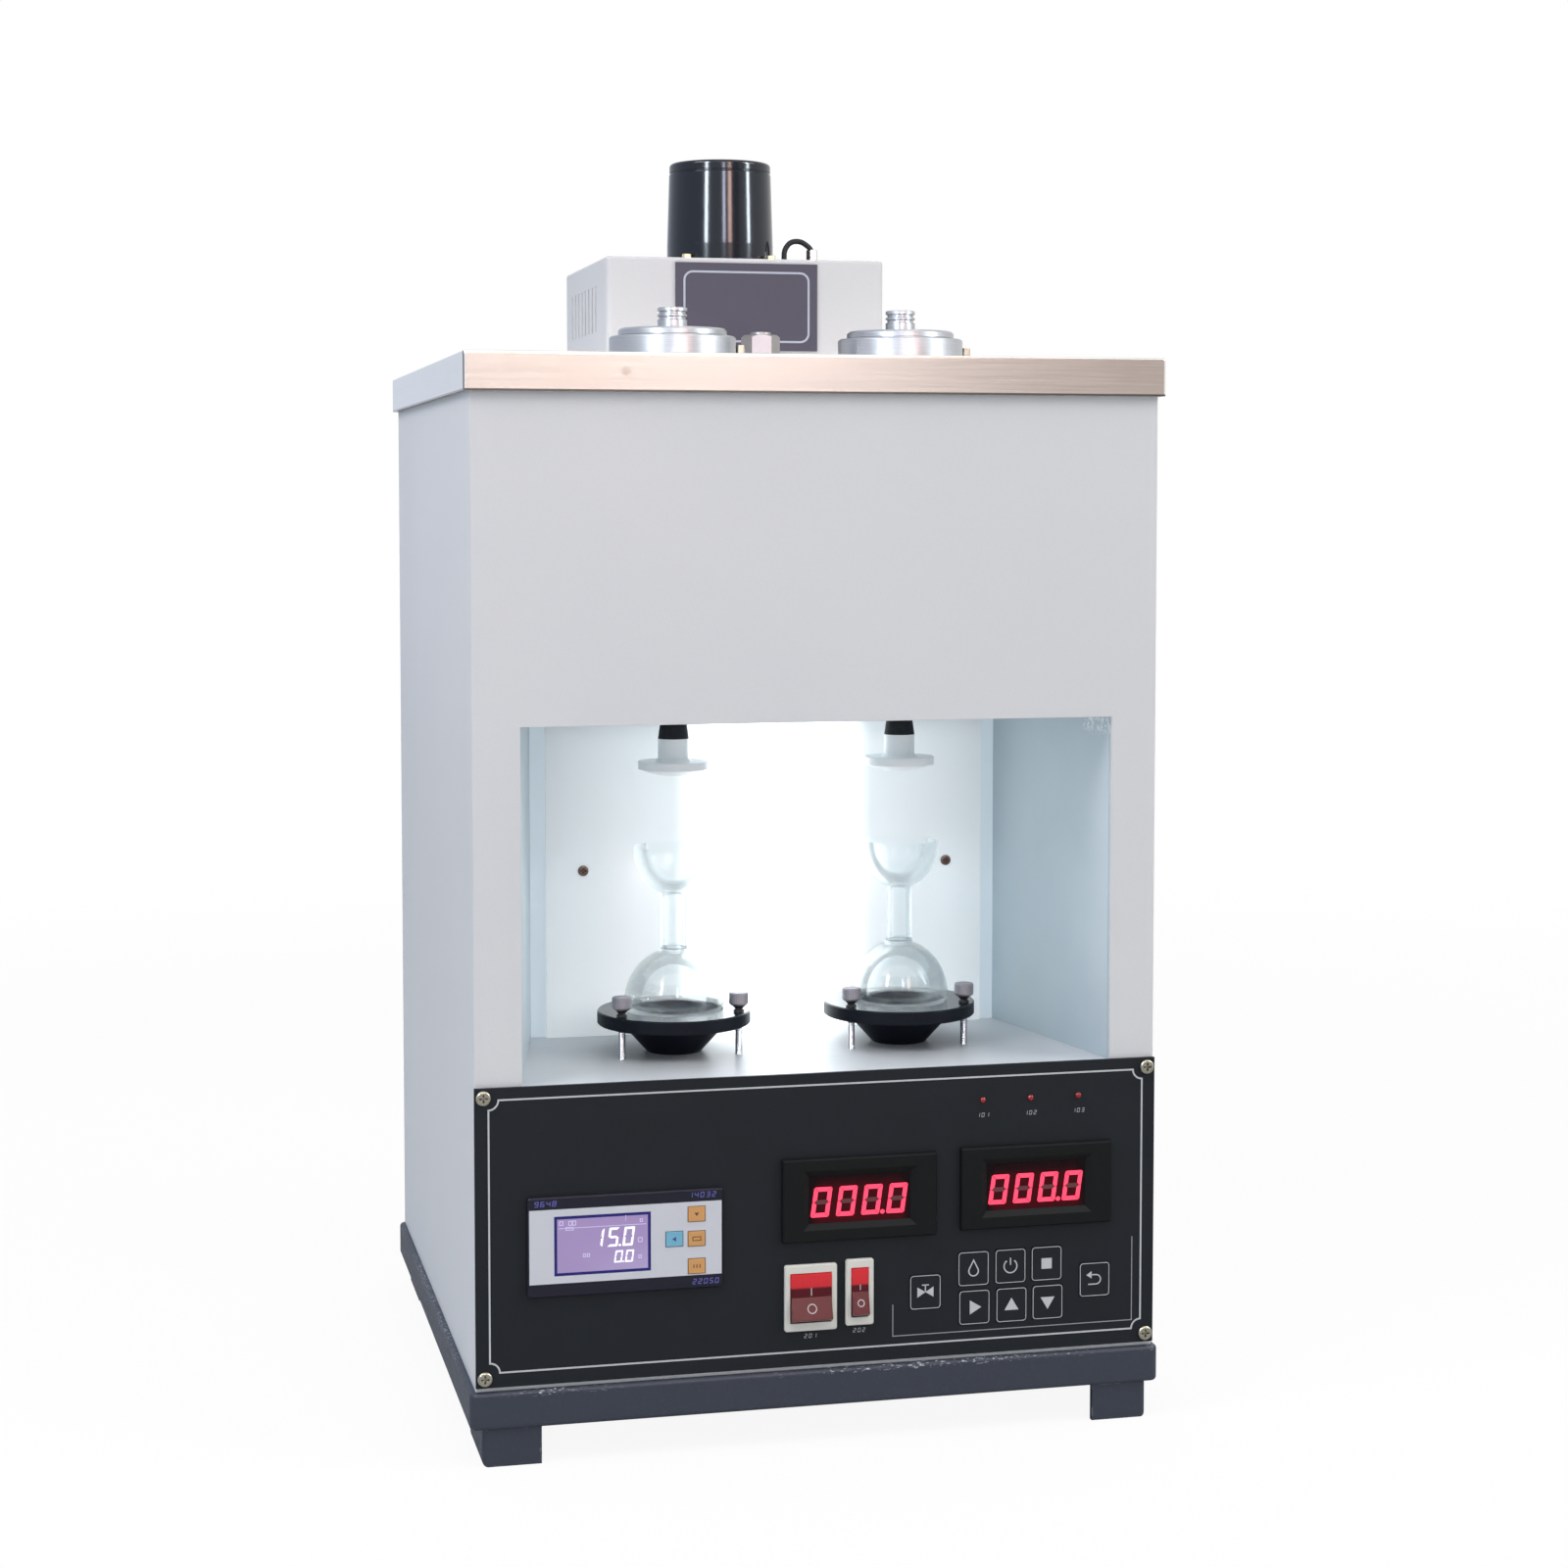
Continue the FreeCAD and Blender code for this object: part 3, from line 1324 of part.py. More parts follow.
def pan_screws():
    """Screws of the front panel, diffuser and rear cover, and the studs beside the collars."""
    screws = []

    def place(screw, x, y, z, tilt=0):
        """Stand one screw at a point, tipped about X."""
        screw.rotate(V(0, 0, 0), V(1, 0, 0), tilt)
        screw.translate(V(x, y, z))
        screws.append(screw)

    for x, z in panel_screw_places():
        place(pan_screw(screw_head_radius, screw_head_height), x, at(-panel_thickness), z, 90)
    for x, z in diffuser_screw_places():
        seat = at(chamber_depth - diffuser_thickness)
        place(pan_screw(diffuser_screw_radius, diffuser_screw_height), x, seat, z, 90)
    for x, z in rear_screw_places():
        place(pan_screw(screw_head_radius, screw_head_height), x, at(body_depth) + rear_sheet, z, -90)
    for x, y in collar_screw_places():
        place(collar_stud(), x, y, cover_top)
    return Part.makeCompound(screws)


def build():
    """Every sub-part, saved under its node's name."""
    os.makedirs("parts", exist_ok=True)
    save("base_frame", base_frame())
    save("feet", feet())
    save("cabinet_shell", cabinet_shell())
    save("rear_cover", rear_cover())
    save("power_inlet", power_inlet())
    save("bath_cover", bath_cover())
    save("bath_tank", bath_tank())
    save("chamber_liner", chamber_liner())
    save("chamber_floor", chamber_floor())
    save("diffuser_panel", diffuser_panel())
    save("lamp_tubes", lamp_tubes())
    for side, name in ((-1, "left"), (1, "right")):
        save("viscometer_tube_" + name, viscometer_tube(side))
        save("tube_lid_" + name, tube_lid(side))
        save("stopper_cork_" + name, stopper_cork(side))
        save("stopper_handle_" + name, stopper_handle(side))
        save("flask_tray_" + name, flask_tray(side))
        save("flask_" + name, flask(side))
        for (x, y), end in zip(thumb_screw_places(side), ("outer", "inner")[::-side]):
            save("thumb_screw_" + name + "_" + end, thumb_screw(x, y))
    save("control_panel", control_panel())
    save("controller_housing", controller_housing())
    save("controller_display", controller_display())
    for name, x, up in controller_keys():
        save(name, controller_key(x, up))
    save("timer_housings", timer_housings())
    save("timer_windows", timer_windows())
    save("switch_bezels", switch_bezels())
    save("heater_rocker", rocker(0))
    save("lamp_rocker", rocker(1))
    save("indicator_lamps", indicator_lamps())
    for name, x, up in keypad_places:
        save(name, keypad_key(x, up))
    save("filler_plug", filler_plug())
    save("heater_coil", heater_coil())
    save("control_box", control_box())
    save("label_plate", label_plate())
    save("motor_base", motor_base())
    save("motor_housing", motor_housing())
    save("motor_screws", motor_screws())
    save("stirrer", stirrer())
    save("temperature_probe", temperature_probe())
    save("sensor_lead", sensor_lead())
    save("lead_grommet", lead_grommet())
    save("pan_screws", pan_screws())


build()
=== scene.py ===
import json
import math

import bmesh
import bpy
from mathutils import Matrix, Vector


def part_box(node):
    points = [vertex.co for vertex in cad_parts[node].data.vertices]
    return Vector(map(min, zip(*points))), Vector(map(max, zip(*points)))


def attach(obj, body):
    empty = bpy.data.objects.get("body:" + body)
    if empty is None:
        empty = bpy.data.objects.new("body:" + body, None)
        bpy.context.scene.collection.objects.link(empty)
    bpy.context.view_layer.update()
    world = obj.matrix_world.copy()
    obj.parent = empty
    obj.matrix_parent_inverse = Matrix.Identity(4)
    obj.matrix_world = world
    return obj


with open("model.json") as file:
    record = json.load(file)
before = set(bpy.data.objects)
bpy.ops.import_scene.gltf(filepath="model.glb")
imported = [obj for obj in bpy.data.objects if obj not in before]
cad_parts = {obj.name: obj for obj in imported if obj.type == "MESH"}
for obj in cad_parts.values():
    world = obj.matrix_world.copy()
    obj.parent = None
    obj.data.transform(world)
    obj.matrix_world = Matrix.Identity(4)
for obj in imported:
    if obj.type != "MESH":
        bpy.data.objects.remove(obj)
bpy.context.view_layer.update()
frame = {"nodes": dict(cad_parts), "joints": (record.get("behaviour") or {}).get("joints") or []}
mm = 0.001
print("frame loaded,", len(frame["nodes"]), "nodes")


class Wire:
    # one socket of a shader graph, so that shader maths is written as arithmetic
    def __init__(self, graph, socket):
        self.graph = graph
        self.socket = socket

    def __add__(self, other):
        return self.graph.maths("ADD", self, other)

    def __radd__(self, other):
        return self.graph.maths("ADD", other, self)

    def __sub__(self, other):
        return self.graph.maths("SUBTRACT", self, other)

    def __rsub__(self, other):
        return self.graph.maths("SUBTRACT", other, self)

    def __mul__(self, other):
        return self.graph.maths("MULTIPLY", self, other)

    def __rmul__(self, other):
        return self.graph.maths("MULTIPLY", other, self)

    def __truediv__(self, other):
        return self.graph.maths("DIVIDE", self, other)

    def __rtruediv__(self, other):
        return self.graph.maths("DIVIDE", other, self)

    def __pow__(self, other):
        return self.graph.maths("POWER", self, other)

    def __gt__(self, other):
        return self.graph.maths("GREATER_THAN", self, other)

    def __lt__(self, other):
        return self.graph.maths("LESS_THAN", self, other)

    def __abs__(self):
        return self.graph.maths("ABSOLUTE", self)


class Graph:
    def __init__(self, tree):
        self.tree = tree
        tree.nodes.clear()

    def node(self, kind, settings, sockets, out=0):
        made = self.tree.nodes.new("ShaderNode" + kind)
        for key, value in settings.items():
            if key == "stops":
                ramp = made.color_ramp
                while len(ramp.elements) < len(value):
                    ramp.elements.new(0.5)
                for element, (position, colour) in zip(ramp.elements, value):
                    element.position = position
                    element.color = (*colour, 1)
            else:
                setattr(made, key, value)
        for key, value in sockets.items():
            if isinstance(value, Wire):
                self.tree.links.new(value.socket, made.inputs[key])
            else:
                made.inputs[key].default_value = value
        return Wire(self, made.outputs[out]) if made.outputs else None

    def maths(self, operation, a, b=0.0, c=0.0):
        return self.node("Math", {"operation": operation}, {0: a, 1: b, 2: c})

    def clip(self, value):
        return self.node("Clamp", {}, {"Value": value})

    def fade(self, value, low, high, start=0.0, end=1.0):
        sockets = {"Value": value, 1: low, 2: high, 3: start, 4: end}
        return self.node("MapRange", {"interpolation_type": "SMOOTHSTEP"}, sockets)

    def blend(self, amount, a, b, kind="MIX"):
        colours = {0: amount, 6: opaque(a), 7: opaque(b)}
        return self.node("Mix", {"data_type": "RGBA", "blend_type": kind}, colours, 2)

    def vector(self, operation, a, b, out=0):
        return self.node("VectorMath", {"operation": operation}, {0: a, 1: b}, out)

    def place(self):
        # millimetres in the object's own frame
        return self.vector("MULTIPLY", self.node("TexCoord", {}, {}, "Object"), (1000, 1000, 1000))

    def facing(self):
        return self.node("TexCoord", {}, {}, "Normal")

    def axis(self, vector, letter):
        return self.node("SeparateXYZ", {}, {0: vector}, letter)

    def noise(self, vector, scale, detail=2.0, roughness=0.5):
        sockets = {"Vector": vector, "Scale": scale, "Detail": detail, "Roughness": roughness}
        return self.node("TexNoise", {}, sockets)

    def stretched(self, vector, factors):
        return self.vector("MULTIPLY", vector, factors)

    def bump(self, height, depth, round=0.0):
        # depth of full height in millimetres, over edges rounded by a radius in millimetres
        sockets = {"Height": height, "Distance": depth * mm, "Strength": 1.0}
        if round:
            sockets["Normal"] = self.node("Bevel", {"samples": 4}, {"Radius": round * mm}, "Normal")
        return self.node("Bump", {}, sockets)

    def edges(self, radius):
        # 1 on convex and concave edges, 0 on flat faces
        rounded = self.node("Bevel", {"samples": 6}, {"Radius": radius * mm}, "Normal")
        plain = self.node("NewGeometry", {}, {}, "Normal")
        return self.clip((1 - self.vector("DOT_PRODUCT", rounded, plain, "Value")) * 6)

    def box(self, place, x0, x1, z0, z1):
        # 1 inside a rectangle of the front plane
        x = self.axis(place, "X")
        z = self.axis(place, "Z")
        return (x > x0) * (x < x1) * (z > z0) * (z < z1)


def opaque(colour):
    return (*colour, 1) if isinstance(colour, tuple) and len(colour) == 3 else colour


def finish(name, make):
    material = bpy.data.materials.new(name)
    material.use_nodes = True
    graph = Graph(material.node_tree)
    shader = make(graph)
    graph.node("OutputMaterial", {}, {"Surface": shader})
    return material


def principled(graph, sockets):
    return graph.node("BsdfPrincipled", {}, {key: opaque(value) for key, value in sockets.items()})


def dress(material, *nodes):
    for name in nodes:
        for index in range(len(frame["nodes"][name].material_slots)):
            frame["nodes"][name].material_slots[index].material = material


# Camera at the photograph's angle

shot = {
    "place": (-0.3403, -1.5170, 0.4665), "pitch": -3.49, "turn": -13.34,
    "lens": 65.42, "sensor": 36, "shiftDown": 0.06875, "farLimit": 50,
}


def makeCamera():
    data = bpy.data.cameras.new("camera")
    data.lens = shot["lens"]
    data.sensor_width = shot["sensor"]
    data.shift_y = -shot["shiftDown"]
    data.clip_end = shot["farLimit"]
    camera = bpy.data.objects.new("camera", data)
    camera.location = shot["place"]
    camera.rotation_euler = (math.radians(90 + shot["pitch"]), 0, math.radians(shot["turn"]))
    bpy.context.collection.objects.link(camera)
    bpy.context.scene.camera = camera


makeCamera()
print("camera placed")

# Studio: white surroundings, soft lamps and narrow strips that streak the glossy parts

studio = {
    "ambient": (0.555, 0.55, 0.56),
    "coolSide": (0.215, 0.35, 0.455),
    "warmCard": (0.92, 0.80, 0.73),
    "rosyCard": (1.12, 1.05, 1.04),
    "dimWall": (0.48, 0.42, 0.39),
    "coolCard": (0.71, 0.77, 0.88),
    "warmSpan": (-3, 2, 12, 16),
    "rosySpan": (9.0, 12.5, 14.2, 16.5),
    "dimSpan": (14.6, 18, 27, 36),
    "coolSpan": (-25, -45),
    "floorHalf": 6.0,
    "floorGlow": 0.92,
    "floorFade": (900, 2200),
    "floorSeen": ((0.95, 0.95, 0.95), (0.97, 0.97, 0.97)),
    "floorLit": (0.70, 0.70, 0.70),
    "aimHeight": 0.35,
}
lamps = [
    # name, azimuth, distance, height, width, tall, watts, colour; strips only streak what shines
    ("keyLamp", 62, 2.6, 1.9, 1.4, 1.2, 26, (1.0, 0.98, 0.95)),
    ("fillLamp", -62, 1.15, 1.55, 0.8, 0.8, 13, (1.0, 0.93, 0.95)),
    ("topLamp", 10, 0.8, 2.4, 1.6, 1.6, 9, (1.0, 0.99, 0.98)),
    ("leftStrip", -43, 2.4, 1.46, 0.26, 1.2, 52, (0.80, 0.92, 1.0)),
    ("violetStrip", -3, 3.2, 1.58, 0.28, 1.2, 24, (0.76, 0.80, 1.0)),
    ("warmStrip", 10, 3.2, 1.58, 0.42, 1.2, 28, (1.0, 0.66, 0.58)),
    ("rightStrip", 55, 2.4, 1.46, 0.26, 1.2, 46, (0.80, 0.91, 1.0)),
]


def makeWorld():
    world = bpy.data.worlds.new("studio")
    world.use_nodes = True
    bpy.context.scene.world = world
    g = Graph(world.node_tree)
    way = g.node("TexCoord", {}, {}, "Generated")
    x = g.axis(way, "X")
    y = g.axis(way, "Y")
    angle = g.maths("ARCTAN2", x, 0 - y) * (180 / math.pi)
    shiny = (1.0, 1.0, 1.0)
    for span, card in (("warmSpan", "warmCard"), ("rosySpan", "rosyCard"), ("dimSpan", "dimWall")):
        rise, full, fall, end = studio[span]
        shiny = g.blend(g.fade(angle, rise, full) * g.fade(angle, end, fall), shiny, studio[card])
    shiny = g.blend(g.fade(angle, *studio["coolSpan"]), shiny, studio["coolCard"])
    soft = g.blend(g.fade(x, 0.1, -0.8), studio["ambient"], studio["coolSide"])
    path = {name: g.node("LightPath", {}, {}, name)
            for name in ("Is Camera Ray", "Is Glossy Ray", "Is Transmission Ray")}
    seen = g.maths("MAXIMUM", path["Is Camera Ray"], path["Is Transmission Ray"])
    colour = g.blend(path["Is Glossy Ray"], soft, shiny)
    colour = g.blend(seen, colour, (1.0, 1.0, 1.0))
    g.node("OutputWorld", {}, {"Surface": g.node("Background", {}, {"Color": colour, "Strength": 1.0})})


def makeLamp(name, azimuth, distance, height, width, tall, watts, colour):
    data = bpy.data.lights.new(name, "AREA")
    data.shape = "RECTANGLE"
    data.size = width
    data.size_y = tall
    data.energy = watts
    data.color = colour
    lamp = bpy.data.objects.new(name, data)
    a = math.radians(azimuth)
    lamp.location = (distance * math.sin(a), -distance * math.cos(a), height)
    aim = Vector((0, 0, studio["aimHeight"])) - Vector(lamp.location)
    lamp.rotation_euler = aim.to_track_quat("-Z", "Y").to_euler()
    lamp.visible_diffuse = not name.endswith("Strip")
    bpy.context.collection.objects.link(lamp)


def makeFloor():
    half = studio["floorHalf"]
    mesh = bpy.data.meshes.new("floor")
    corners = [(-half, -half, 0), (half, -half, 0), (half, half, 0), (-half, half, 0)]
    mesh.from_pydata(corners, [], [(0, 1, 2, 3)])
    floor = bpy.data.objects.new("floor", mesh)
    bpy.context.collection.objects.link(floor)

    def pale(g):
        place = g.place()
        speck = g.noise(place, 0.01)
        lookedAt = g.node("LightPath", {}, {}, "Is Camera Ray")
        tone = g.blend(lookedAt, studio["floorLit"], g.blend(speck, *studio["floorSeen"]))
        paper = principled(g, {"Base Color": tone, "Roughness": 0.9, "Specular IOR Level": 0.0})
        glow = g.node("Emission", {}, {"Color": (1, 1, 1, 1), "Strength": 1.0})
        away = g.vector("LENGTH", place, (0, 0, 0), "Value")
        share = g.fade(away, *studio["floorFade"], studio["floorGlow"], 1.0)
        return g.node("MixShader", {}, {0: lookedAt * share, 1: paper, 2: glow})

    mesh.materials.append(finish("floorPaper", pale))


makeWorld()
for lamp in lamps:
    makeLamp(*lamp)
makeFloor()
bpy.context.scene.view_settings.view_transform = "Standard"
print("studio ready")

# Painted sheet metal

paint = {
    "cabinet": (0.755, 0.753, 0.760),
    "cabinetShade": (0.715, 0.717, 0.730),
    # painted shade: the control box has the cabinet's own paint; box and boxShade are a darker copy of it,
    # toned for the light that falls on the box
    "box": (0.65, 0.647, 0.653),
    "boxShade": (0.62, 0.619, 0.629),
    "peel": 0.9,
    "peelDepth": 0.035,
    "skirt": (0.036, 0.044, 0.064),
    "skirtWearAndHighlight": (0.24, 0.26, 0.31),
    "skirtGlint": (0.52, 0.55, 0.62),
    "liner": (0.56, 0.635, 0.675),
    "linerShade": (0.50, 0.58, 0.63),
    "linerLeakLight": (0.66, 0.74, 0.79),
    "linerLeak": 0.30,
    "ledge": (0.62, 0.635, 0.655),
    "ledgeShade": (0.57, 0.59, 0.615),
}
skirtGlintBand = {"from": 3.4, "to": 1.6}
linerMarks = {
    # where the painted leak light falls, from the front and from the middle, then the scuffed patch's span
    # each way
    "leakDepth": 60, "leakFrom": 110,
    "scuffAcross": (100, 112), "scuffBack": (34, 20), "scuffDown": (20, 13), "scuffed": (0.88, 0.90, 0.92),
}


def sheetPaint(tone, shade):
    def make(g):
        place = g.place()
        cloud = g.noise(place, 0.006, 3)
        speck = g.noise(place, 1.6, 2)
        mixed = g.blend(g.clip(cloud * 1.6 - 0.3), tone, shade)
        mixed = g.blend(g.fade(speck, 0.35, 0.75) * 0.10, mixed, tuple(0.75 * c for c in tone))
        peel = g.noise(place, paint["peel"], 3, 0.6)
        return principled(g, {"Base Color": mixed, "Roughness": 0.42 + g.noise(place, 0.02) * 0.14,
                              "Specular IOR Level": 0.35,
                              "Normal": g.bump(peel, paint["peelDepth"], 0.5)})
    return make


def skirtPaint(g):
    place = g.place()
    # edges painted lighter: partly paint worn off and chipped, partly a painted highlight along the edges
    wornAndHighlight = g.edges(1.2) * g.fade(g.noise(place, 0.12, 4), 0.48, 0.62)
    chips = g.fade(g.noise(place, 0.35, 3), 0.66, 0.70) * g.edges(2.5)
    tone = g.blend(g.clip(wornAndHighlight + chips), paint["skirt"], paint["skirtWearAndHighlight"])
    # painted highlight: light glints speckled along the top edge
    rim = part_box("base_frame")[1][2] / mm
    upper = g.fade(g.axis(place, "Z"), rim - skirtGlintBand["from"], rim - skirtGlintBand["to"])
    patchy = g.fade(g.noise(place, 0.012, 3), 0.46, 0.56)
    specks = g.fade(g.noise(g.stretched(place, (0.45, 0.9, 1.3)), 1.0, 3), 0.58, 0.66)
    tone = g.blend(upper * patchy * specks, tone, paint["skirtGlint"])
    tone = g.blend(g.fade(g.noise(place, 0.5, 3), 0.55, 0.75) * 0.35, tone, (0.05, 0.06, 0.085))
    peel = g.noise(place, 0.55, 3, 0.6)
    return principled(g, {"Base Color": tone, "Roughness": 0.38 + g.noise(place, 0.3) * 0.2,
                          "Specular IOR Level": 0.3, "Normal": g.bump(peel, 0.10, 0.8)})


def linerPaint(g):
    place = g.place()
    cloud = g.noise(place, 0.012, 3)
    tone = g.blend(g.fade(cloud, 0.3, 0.7), paint["liner"], paint["linerShade"])
    # painted light: where light would leak round the diffuser's ends, the back wall is painted lighter and
    # made to glow
    low, high = [Vector(corner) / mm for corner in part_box("chamber_liner")]
    x = g.axis(place, "X")
    y = g.axis(place, "Y")
    z = g.axis(place, "Z")
    facesFront = g.axis(g.facing(), "Y") < -0.9
    leak = facesFront * (y > low.y + linerMarks["leakDepth"]) * (abs(x) > linerMarks["leakFrom"])
    tone = g.blend(leak, tone, paint["linerLeakLight"])
    # a scuffed patch in the upper front corner
    backFrom, backTo = linerMarks["scuffBack"]
    downFrom, downTo = linerMarks["scuffDown"]
    scuffed = g.fade(x, *linerMarks["scuffAcross"]) * g.fade(y, low.y + backFrom, low.y + backTo)
    scuffed = scuffed * g.fade(z, high.z - downFrom, high.z - downTo)
    scuffs = g.fade(g.noise(place, 0.32, 4, 0.7), 0.50, 0.56) * scuffed
    tone = g.blend(scuffs, tone, linerMarks["scuffed"])
    peel = g.noise(place, 0.5, 2) + scuffed * g.noise(place, 0.5, 3) * 8
    lit = g.blend(leak, (0.0, 0.0, 0.0), tone)
    return principled(g, {"Base Color": tone, "Roughness": 0.30 + g.noise(place, 0.04) * 0.15,
                          "Specular IOR Level": 0.45, "Emission Color": lit,
                          "Emission Strength": paint["linerLeak"], "Normal": g.bump(peel, 0.05, 0.5)})


def ledgePaint(g):
    place = g.place()
    tone = g.blend(g.noise(place, 0.02, 3), paint["ledge"], paint["ledgeShade"])
    tone = g.blend(g.fade(g.noise(place, 0.9, 3), 0.6, 0.8) * 0.2, tone, (0.42, 0.44, 0.47))
    rub = g.noise(g.stretched(place, (0.02, 0.5, 0.5)), 1.0, 3)
    return principled(g, {"Base Color": tone, "Roughness": 0.26 + rub * 0.22,
                          "Specular IOR Level": 0.5, "Normal": g.bump(g.noise(place, 0.6), 0.03, 0.5)})


cabinetPaint = finish("cabinetPaint", sheetPaint(paint["cabinet"], paint["cabinetShade"]))
dress(cabinetPaint, "cabinet_shell", "rear_cover")
# painted shade: the control box gets a darker copy of the cabinet's paint, toned for how light falls on it
dress(finish("boxPaintShadedCopy", sheetPaint(paint["box"], paint["boxShade"])), "control_box")
dress(finish("skirtPaint", skirtPaint), "base_frame", "feet")
dress(finish("linerPaint", linerPaint), "chamber_liner")
dress(finish("ledgePaint", ledgePaint), "chamber_floor")
print("painted sheet metal")

# Bare metals

metal = {
    "stainless": (0.80, 0.77, 0.735),
    "stainlessDark": (0.70, 0.67, 0.64),
    "aluminium": (0.54, 0.545, 0.56),
    "aluminiumDark": (0.36, 0.37, 0.39),
    "nickel": (0.36, 0.335, 0.33),
    "zinc": (0.36, 0.345, 0.275),
    "stud": (0.50, 0.50, 0.43),
    "darkScrew": (0.15, 0.095, 0.085),
    "brass": (0.83, 0.66, 0.36),
    "sheath": (0.40, 0.38, 0.36),
    "probe": (0.70, 0.69, 0.67),
    "smudge": (0.58, 0.54, 0.50),
    "scratch": (0.52, 0.48, 0.45),
    "seamAndShade": (0.075, 0.055, 0.050),
    "darkSpot": (0.50, 0.46, 0.42),
}
coverBox = [Vector(corner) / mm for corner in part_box("bath_cover")]
coverSpots = (
    # place and radius of each small darker spot
    ((coverBox[0].x, coverBox[1].y - 24, coverBox[0].z + 6), 1.6),
    ((coverBox[0].x, coverBox[0].y + 52, coverBox[0].z + 10), 1.2),
    ((-98, coverBox[0].y, coverBox[0].z + 9.5), 3.2),
)


def brushedSheet(g):
    # grain runs along X, but along Y on the two ends
    place = g.place()
    onEnd = abs(g.axis(g.facing(), "X")) > 0.6
    along = g.stretched(place, (0.012, 2.4, 2.4))
    across = g.stretched(place, (2.4, 0.012, 2.4))
    grain = g.node("Mix", {"data_type": "VECTOR"}, {0: onEnd, 4: along, 5: across}, 1)
    fine = g.noise(grain, 1.6, 4, 0.65)
    coarse = g.noise(grain, 0.35, 3, 0.6)
    smudge = g.noise(place, 0.02, 4)
    tone = g.blend(g.fade(fine * 0.7 + coarse * 0.3, 0.3, 0.7), metal["stainlessDark"], metal["stainless"])
    tone = g.blend(g.fade(smudge, 0.55, 0.8) * 0.25, tone, metal["smudge"])
    low = coverBox[0]
    x = g.axis(place, "X")
    z = g.axis(place, "Z")
    # long scratches, mostly towards the right end
    scratch = g.fade(g.noise(g.stretched(place, (0.03, 1.2, 5.0)), 0.5, 4, 0.7), 0.60, 0.68)
    scratch = scratch * g.fade(x, -60, 150) * 0.5
    tone = g.blend(scratch, tone, metal["scratch"])
    # painted shade and dark reflection along the lower edge, a dark seam down the corner fold, and three
    # small darker spots
    seamAndShade = g.fade(z, low.z + 1.2, low.z + 0.6)
    corner = onEnd * g.fade(g.axis(place, "Y"), low.y + 3.2, low.y + 2.2) * (x < 0)
    tone = g.blend(g.clip(seamAndShade + corner) * 0.85, tone, metal["seamAndShade"])
    for spot, radius in coverSpots:
        away = g.vector("DISTANCE", place, spot, "Value")
        tone = g.blend(g.fade(away, radius, radius * 0.3) * 0.5, tone, metal["darkSpot"])
    return principled(g, {"Base Color": tone, "Metallic": 1.0, "Roughness": 0.12 + fine * 0.09,
                          "Normal": g.bump(fine, 0.004, 0.6)})


def turnedMetal(centres):
    # fine rings about the nearest of the upright axes given
    def make(g):
        place = g.place()
        x = g.axis(place, "X")
        y = g.axis(place, "Y")
        dx = abs(x) - centres[0]
        dy = y - centres[1]
        radius = g.maths("SQRT", dx * dx + dy * dy)
        z = g.axis(place, "Z")
        rings = g.noise(g.node("CombineXYZ", {}, {"X": radius, "Y": z, "Z": 0.0}), 3.2, 3, 0.6)
        cloud = g.noise(place, 0.08, 3)
        tone = g.blend(g.fade(rings, 0.3, 0.75), metal["aluminiumDark"], metal["aluminium"])
        return principled(g, {"Base Color": tone, "Metallic": 1.0, "Roughness": 0.27 + cloud * 0.14,
                              "Normal": g.bump(rings, 0.012, 0.25)})
    return make


def plainMetal(colour, roughness, grain=0.3, depth=0.01):
    def make(g):
        place = g.place()
        tone = g.blend(g.noise(place, grain, 3) * 0.35, colour, tuple(0.6 * c for c in colour))
        return principled(g, {"Base Color": tone, "Metallic": 1.0,
                              "Roughness": roughness + g.noise(place, 0.5, 3) * 0.12,
                              "Normal": g.bump(g.noise(place, 1.4, 3), depth, 0.2)})
    return make


def fasteners(g):
    # one node holds all the screws: bath studs above the cover, dark ones inside the chamber
    place = g.place()
    y = g.axis(place, "Y")
    z = g.axis(place, "Z")
    inside = (y > coverBox[0].y + 60) * (y < 0)
    tone = g.blend(inside, metal["zinc"], metal["darkScrew"])
    tone = g.blend(z > coverBox[1].z - 2, tone, metal["stud"])
    tone = g.blend(g.noise(place, 0.6, 3) * 0.4, tone, (0.20, 0.19, 0.15))
    # painted shade: ambient occlusion darkens the cross recesses and crevices
    creviceShade = g.node("AmbientOcclusion", {"samples": 6}, {"Distance": 1.3 * mm}, "AO")
    tone = g.blend(g.fade(creviceShade, 0.80, 0.40), tone, (0.015, 0.013, 0.011))
    return principled(g, {"Base Color": tone, "Metallic": 1.0,
                          "Roughness": 0.24 + g.noise(place, 0.5, 3) * 0.14,
                          "Normal": g.bump(g.noise(place, 1.4, 3), 0.012, 0.25)})


thumbLook = {"knobFrom": 3.68, "neckFrom": 0.25, "thread": 0.8, "facets": 28}


